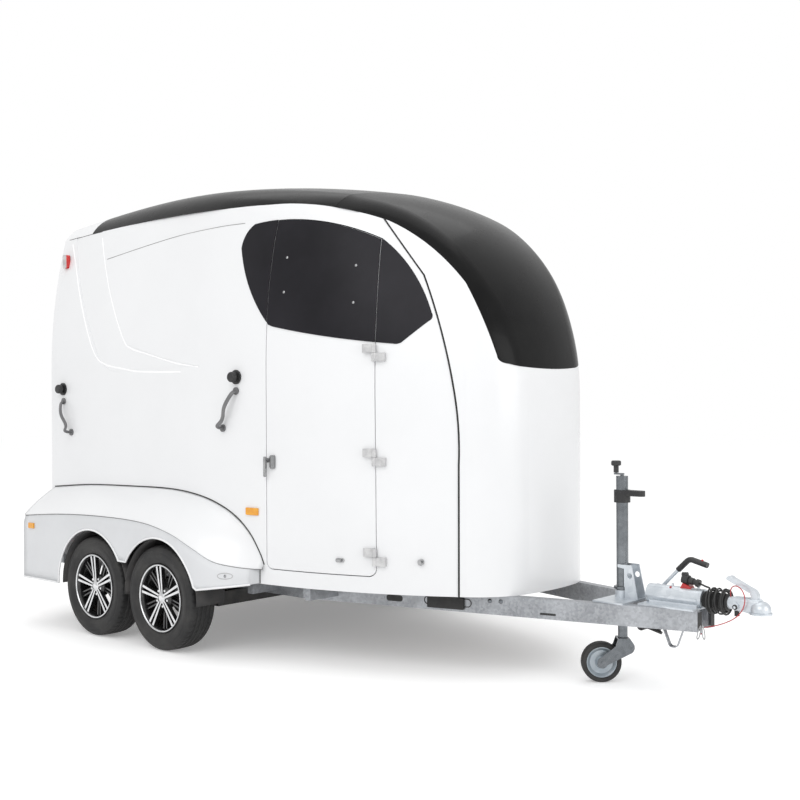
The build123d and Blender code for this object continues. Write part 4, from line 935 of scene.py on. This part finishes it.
# The crease's tube is grey: painted shade in the crease near the roof.
CREASE_SHADE = finish("crease_painted_shade", (0.2, 0.2, 0.2), (0.34, 0.34, 0.34), 0.5, size=3)
CAP_XS, CAP_ZS = range(-1390, -990, 40), range(2300, 2520, 2)
for side, sign in SIDES.items():
    edges = [on_wall(eased(line), sign, -3.6) for line in PRESSED]
    tube(f"pressed_lines_painted_highlight_{side}", edges, 6, PRESS_HIGHLIGHT)
    tube(f"crease_{side}", [on_wall(eased(CREASE), sign, -1.2)], 2.6, CREASE_SHADE)
    wall_top = [(x, max(z for z in CAP_ZS if wall_hit(x, z))) for x in CAP_XS]
    tube(f"cap_seam_{side}", [on_wall(wall_top, sign, -0.5)], 2, RUBBER)
print("wall lines done")

# %% [markdown]
# Each skirt has a small oval pocket with a screw near its front end, and the nose's seals stand a little
# proud of the shell. The seals are a piece of the frame, so only a modifier thickens them.

# %% Pockets, their screws, and proud seals
POCKET_EDGE = finish("pocket_edge", (0.4, 0.4, 0.405), (0.5, 0.5, 0.5), 0.5, size=12)
POCKET_X, POCKET_Z, POCKET_LONG, POCKET_HIGH, POCKET_POINTS = 505, 467, 34, 16, 32
for side, sign in SIDES.items():
    ring = []
    for i in range(POCKET_POINTS):
        a = 2 * pi * i / POCKET_POINTS
        ring.append(on_skirt(POCKET_X + POCKET_LONG * cos(a), POCKET_Z + POCKET_HIGH * sin(a), sign, -0.5))
    tube(f"pocket_{side}", [ring], 2.2, POCKET_EDGE, closed=True)
    screws(f"pocket_screw_{side}", [(on_skirt(POCKET_X, POCKET_Z, sign, -1), (0, sign, 0))], 9, 5, CHROME)
proud = nodes["nose_seals"].modifiers.new("proud", "SOLIDIFY")
proud.thickness, proud.offset = 0.0035, 1

# %% [markdown]
# ## Drawbar
# The rails carry slots, a rubber buffer and bolts. Flat things on a rail are pads: an outline on its outer
# face that stands out with a small bevel. Rods, hooks and buttons on the drawbar use the tube and the screws.

# %% Pads on the rail's face
RAIL_KNEE, RAIL_HEAD, RAIL_HALF = (700, 620), (2800, 62), 25


def on_rail(x, z, out, sign):
    """Point on a drawbar rail's outer face, standing out by out millimetres."""
    run = Vector((RAIL_HEAD[0] - RAIL_KNEE[0], RAIL_HEAD[1] - RAIL_KNEE[1])).normalized()
    y = RAIL_KNEE[1] + (x - RAIL_KNEE[0]) * (RAIL_HEAD[1] - RAIL_KNEE[1]) / (RAIL_HEAD[0] - RAIL_KNEE[0])
    return at(x - run.y * (RAIL_HALF + out), sign * (y + run.x * (RAIL_HALF + out)), z)


def rail_end(y, z, out, sign):
    """Point on a rail's front end."""
    return at(RAIL_HEAD[0] + 7.2 + out, sign * y, z)


def rounded(x0, x1, z0, z1, r, steps=6):
    """Outline of a rectangle with round corners."""
    corners = ((x1 - r, z1 - r, 0), (x0 + r, z1 - r, 90), (x0 + r, z0 + r, 180), (x1 - r, z0 + r, 270))
    return [(x + r * cos(radians(a + 90 * i / steps)), z + r * sin(radians(a + 90 * i / steps)))
            for x, z, a in corners for i in range(steps + 1)]


def pad(name, outline, depth, bevel, place, sign):
    """Raised rubber pad: the outline at the face, again near its front, and drawn in at the front."""
    mid = Vector((sum(p[0] for p in outline) / len(outline), sum(p[1] for p in outline) / len(outline)))
    rings = []
    for shrink, out in ((0, 0), (0, depth - bevel), (bevel * 0.3, depth - bevel * 0.3), (bevel, depth)):
        ring = []
        for x, z in outline:
            inward = (mid - Vector((x, z))).normalized() * shrink
            ring.append(place(x + inward.x, z + inward.y, out, sign))
        rings.append(ring)
    n = len(outline)
    faces = [(k * n + i, k * n + (i + 1) % n, (k + 1) * n + (i + 1) % n, (k + 1) * n + i)
             for k in range(len(rings) - 1) for i in range(n)]
    faces += [tuple(range(n))[::-1], tuple(range(3 * n, 4 * n))]
    vertices = [v for ring in rings for v in ring]
    return outwards(piece(name, vertices, faces, [RUBBER], smooth=False))


for side, sign in SIDES.items():
    for k, corners in enumerate(((1202, 1295, 345, 378, 14), (2040, 2122, 338, 349, 5))):
        pad(f"rail_slot_{k}_{side}", rounded(*corners), 0.8, 0.4, on_rail, sign)
    pad(f"rail_buffer_{side}", rounded(1440, 1642, 331, 392, 5), 16, 3, on_rail, sign)
    ring = [on_rail(x, z, 0.5, sign) for x, z in rounded(1420, 1678, 346, 386, 19)]
    tube(f"buffer_clip_{side}", [ring], 2.6, STEEL_BLACK, closed=True)
    way = (on_rail(1800, 380, 10, sign) - on_rail(1800, 380, 0, sign)).normalized()
    bolts = [(on_rail(x, z, 0, sign), way) for x, z in ((1778, 387), (1837, 388))]
    screws(f"rail_bolts_{side}", bolts, 12, 7, TUBE_ZINC)
    pad(f"rail_end_{side}", rounded(45, 83, 326, 410, 3), 0.9, 0.4, rail_end, sign)
print("rail details done")

# %% Brake parts, hooks and buttons
tube("brake_boss", [[at(2478, -44, 300), at(2478, 4, 300)]], 22, STEEL_BLACK, sides=20)
rods = [[at(2470, -46, 306), at(2520, -47, 300), at(2596, -48, 282)],
        [at(2440, -10, 306), at(2520, -14, 292), at(2570, -16, 286)]]
tube("brake_rods", rods, 8, STEEL_BLACK, sides=14)
bolts = [[at(2614, -40, 322), at(2614, -40, 304)], [at(2797, -30, 322), at(2797, -30, 306)]]
tube("stop_bolts", bolts, 8, CASTING, sides=6)
tips = [[at(2614, -40, 304.5), at(2614, -40, 297)], [at(2797, -30, 306.5), at(2797, -30, 299)]]
tube("stop_bolt_tips", tips, 4.5, RED_COVER)


HOOK_HALF, HOOK_POINTS = 8, 40


def hook(x, y, top, low, lean):
    """Line of a long snap hook hanging from top to low and leaning along the drawbar."""
    line = []
    for i in range(HOOK_POINTS):
        a = 2 * pi * i / HOOK_POINTS
        z = (top + low) / 2 + (top - low) / 2 * sin(a)
        width = HOOK_HALF * (0.55 + 0.45 * (top - z) / (top - low))
        line.append(at(x + width * cos(a) + lean * (top - z), y, z))
    return line


hooks = [hook(2826, -93, 352, 288, -0.25), hook(2838, -96, 356, 292, 0.12)]
tube("snap_hooks", hooks, 2.4, CHROME, closed=True)
buttons = hits("overrun_housing", [at(2631, -22, 900)], DOWN)
buttons += hits("handbrake_grip", [at(2748, 78, 900)], DOWN)
screws("red_buttons", buttons, 6.5, 6, RED_COVER)
head = hits("coupling_head", [at(2974, -400, 450)], INWARDS)
screws("head_bolt", head, 13, 8, BLACK)
NUT_OUT = 0.006
screws("head_bolt_nut", [(place + facing * NUT_OUT, facing) for place, facing in head], 7, 5, CASTING)
tube("head_buffer", [[at(2964, 0, 436), at(2964, 0, 403)]], 12, RUBBER, sides=18)
print("drawbar details done", len(buttons))

# %% [markdown]
# ## Floor and light
# The picture has a white ground with a soft shadow. The floor is plain diffuse white, which keeps the
# shadow, with a little glow added for the camera, glossy and transmission rays, which lifts it to white.
# The sky is an even white, and three large soft lamps give the shell its shape.

# %% Which rays see a thing
def seen_by(tree, *kinds):
    """Mask that is 1 for rays of these kinds and 0 for all others."""
    rays = add(tree, "ShaderNodeLightPath")
    mask = rays.outputs[kinds[0]]
    for kind in kinds[1:]:
        either = add(tree, "ShaderNodeMath", operation="MAXIMUM")
        tree.links.new(mask, either.inputs[0])
        tree.links.new(rays.outputs[kind], either.inputs[1])
        mask = either.outputs[0]
    return mask


# %% Floor
FLOOR_HALF = 30
FLOOR_SHADE, FLOOR_GLOW = 0.9, 0.24
mesh = bpy.data.meshes.new("studio_floor")
mesh.from_pydata([(-FLOOR_HALF, -FLOOR_HALF, 0), (FLOOR_HALF, -FLOOR_HALF, 0), (FLOOR_HALF, FLOOR_HALF, 0),
                  (-FLOOR_HALF, FLOOR_HALF, 0)], [], [(0, 1, 2, 3)])
floor = linked("studio_floor", mesh)
paint = bpy.data.materials.new("studio_white")
paint.use_nodes = True
tree = paint.node_tree
tree.nodes.clear()
shade = add(tree, "ShaderNodeBsdfDiffuse", Color=(FLOOR_SHADE, FLOOR_SHADE, FLOOR_SHADE, 1))
glow = add(tree, "ShaderNodeEmission", Color=(1, 1, 1, 1))
strength = add(tree, "ShaderNodeMath", operation="MULTIPLY")
strength.inputs[1].default_value = FLOOR_GLOW
both = add(tree, "ShaderNodeAddShader")
out = add(tree, "ShaderNodeOutputMaterial")
link = tree.links.new
link(seen_by(tree, "Is Camera Ray", "Is Glossy Ray", "Is Transmission Ray"), strength.inputs[0])
link(strength.outputs[0], glow.inputs["Strength"])
link(shade.outputs[0], both.inputs[0])
link(glow.outputs[0], both.inputs[1])
link(both.outputs[0], out.inputs["Surface"])
mesh.materials.append(paint)
print("floor", 2 * FLOOR_HALF, "m wide")

# %% Sky and lamps
SKY = 0.84
world = bpy.data.worlds.new("studio")
bpy.context.scene.world = world
world.use_nodes = True
tree = world.node_tree
ground = tree.nodes["Background"]
ground.inputs["Color"].default_value = (1, 1, 1, 1)
level = add(tree, "ShaderNodeMapRange", To_Min=SKY, To_Max=1.0)
tree.links.new(seen_by(tree, "Is Camera Ray", "Is Transmission Ray"), level.inputs["Value"])
tree.links.new(level.outputs[0], ground.inputs["Strength"])


def lamp(name, place, aim, size, power):
    """Square soft lamp, sizes in metres and power in watts."""
    data = bpy.data.lights.new(name, "AREA")
    data.shape, data.size, data.energy = "SQUARE", size, power
    obj = linked(name, data)
    obj.location = place
    obj.rotation_mode = "QUATERNION"
    obj.rotation_quaternion = (Vector(aim) - Vector(place)).to_track_quat("-Z", "Y")


lamp("key", (2.5, -9, 7), (0, 0, 1.1), 8, 350)
lamp("top", (-1, 1, 8), (0, 0, 1), 7, 150)
lamp("front", (8, 0, 3), (0.5, 0, 1), 4, 100)
bpy.context.scene.view_settings.view_transform = "Standard"
print("sky", SKY, "and three lamps")
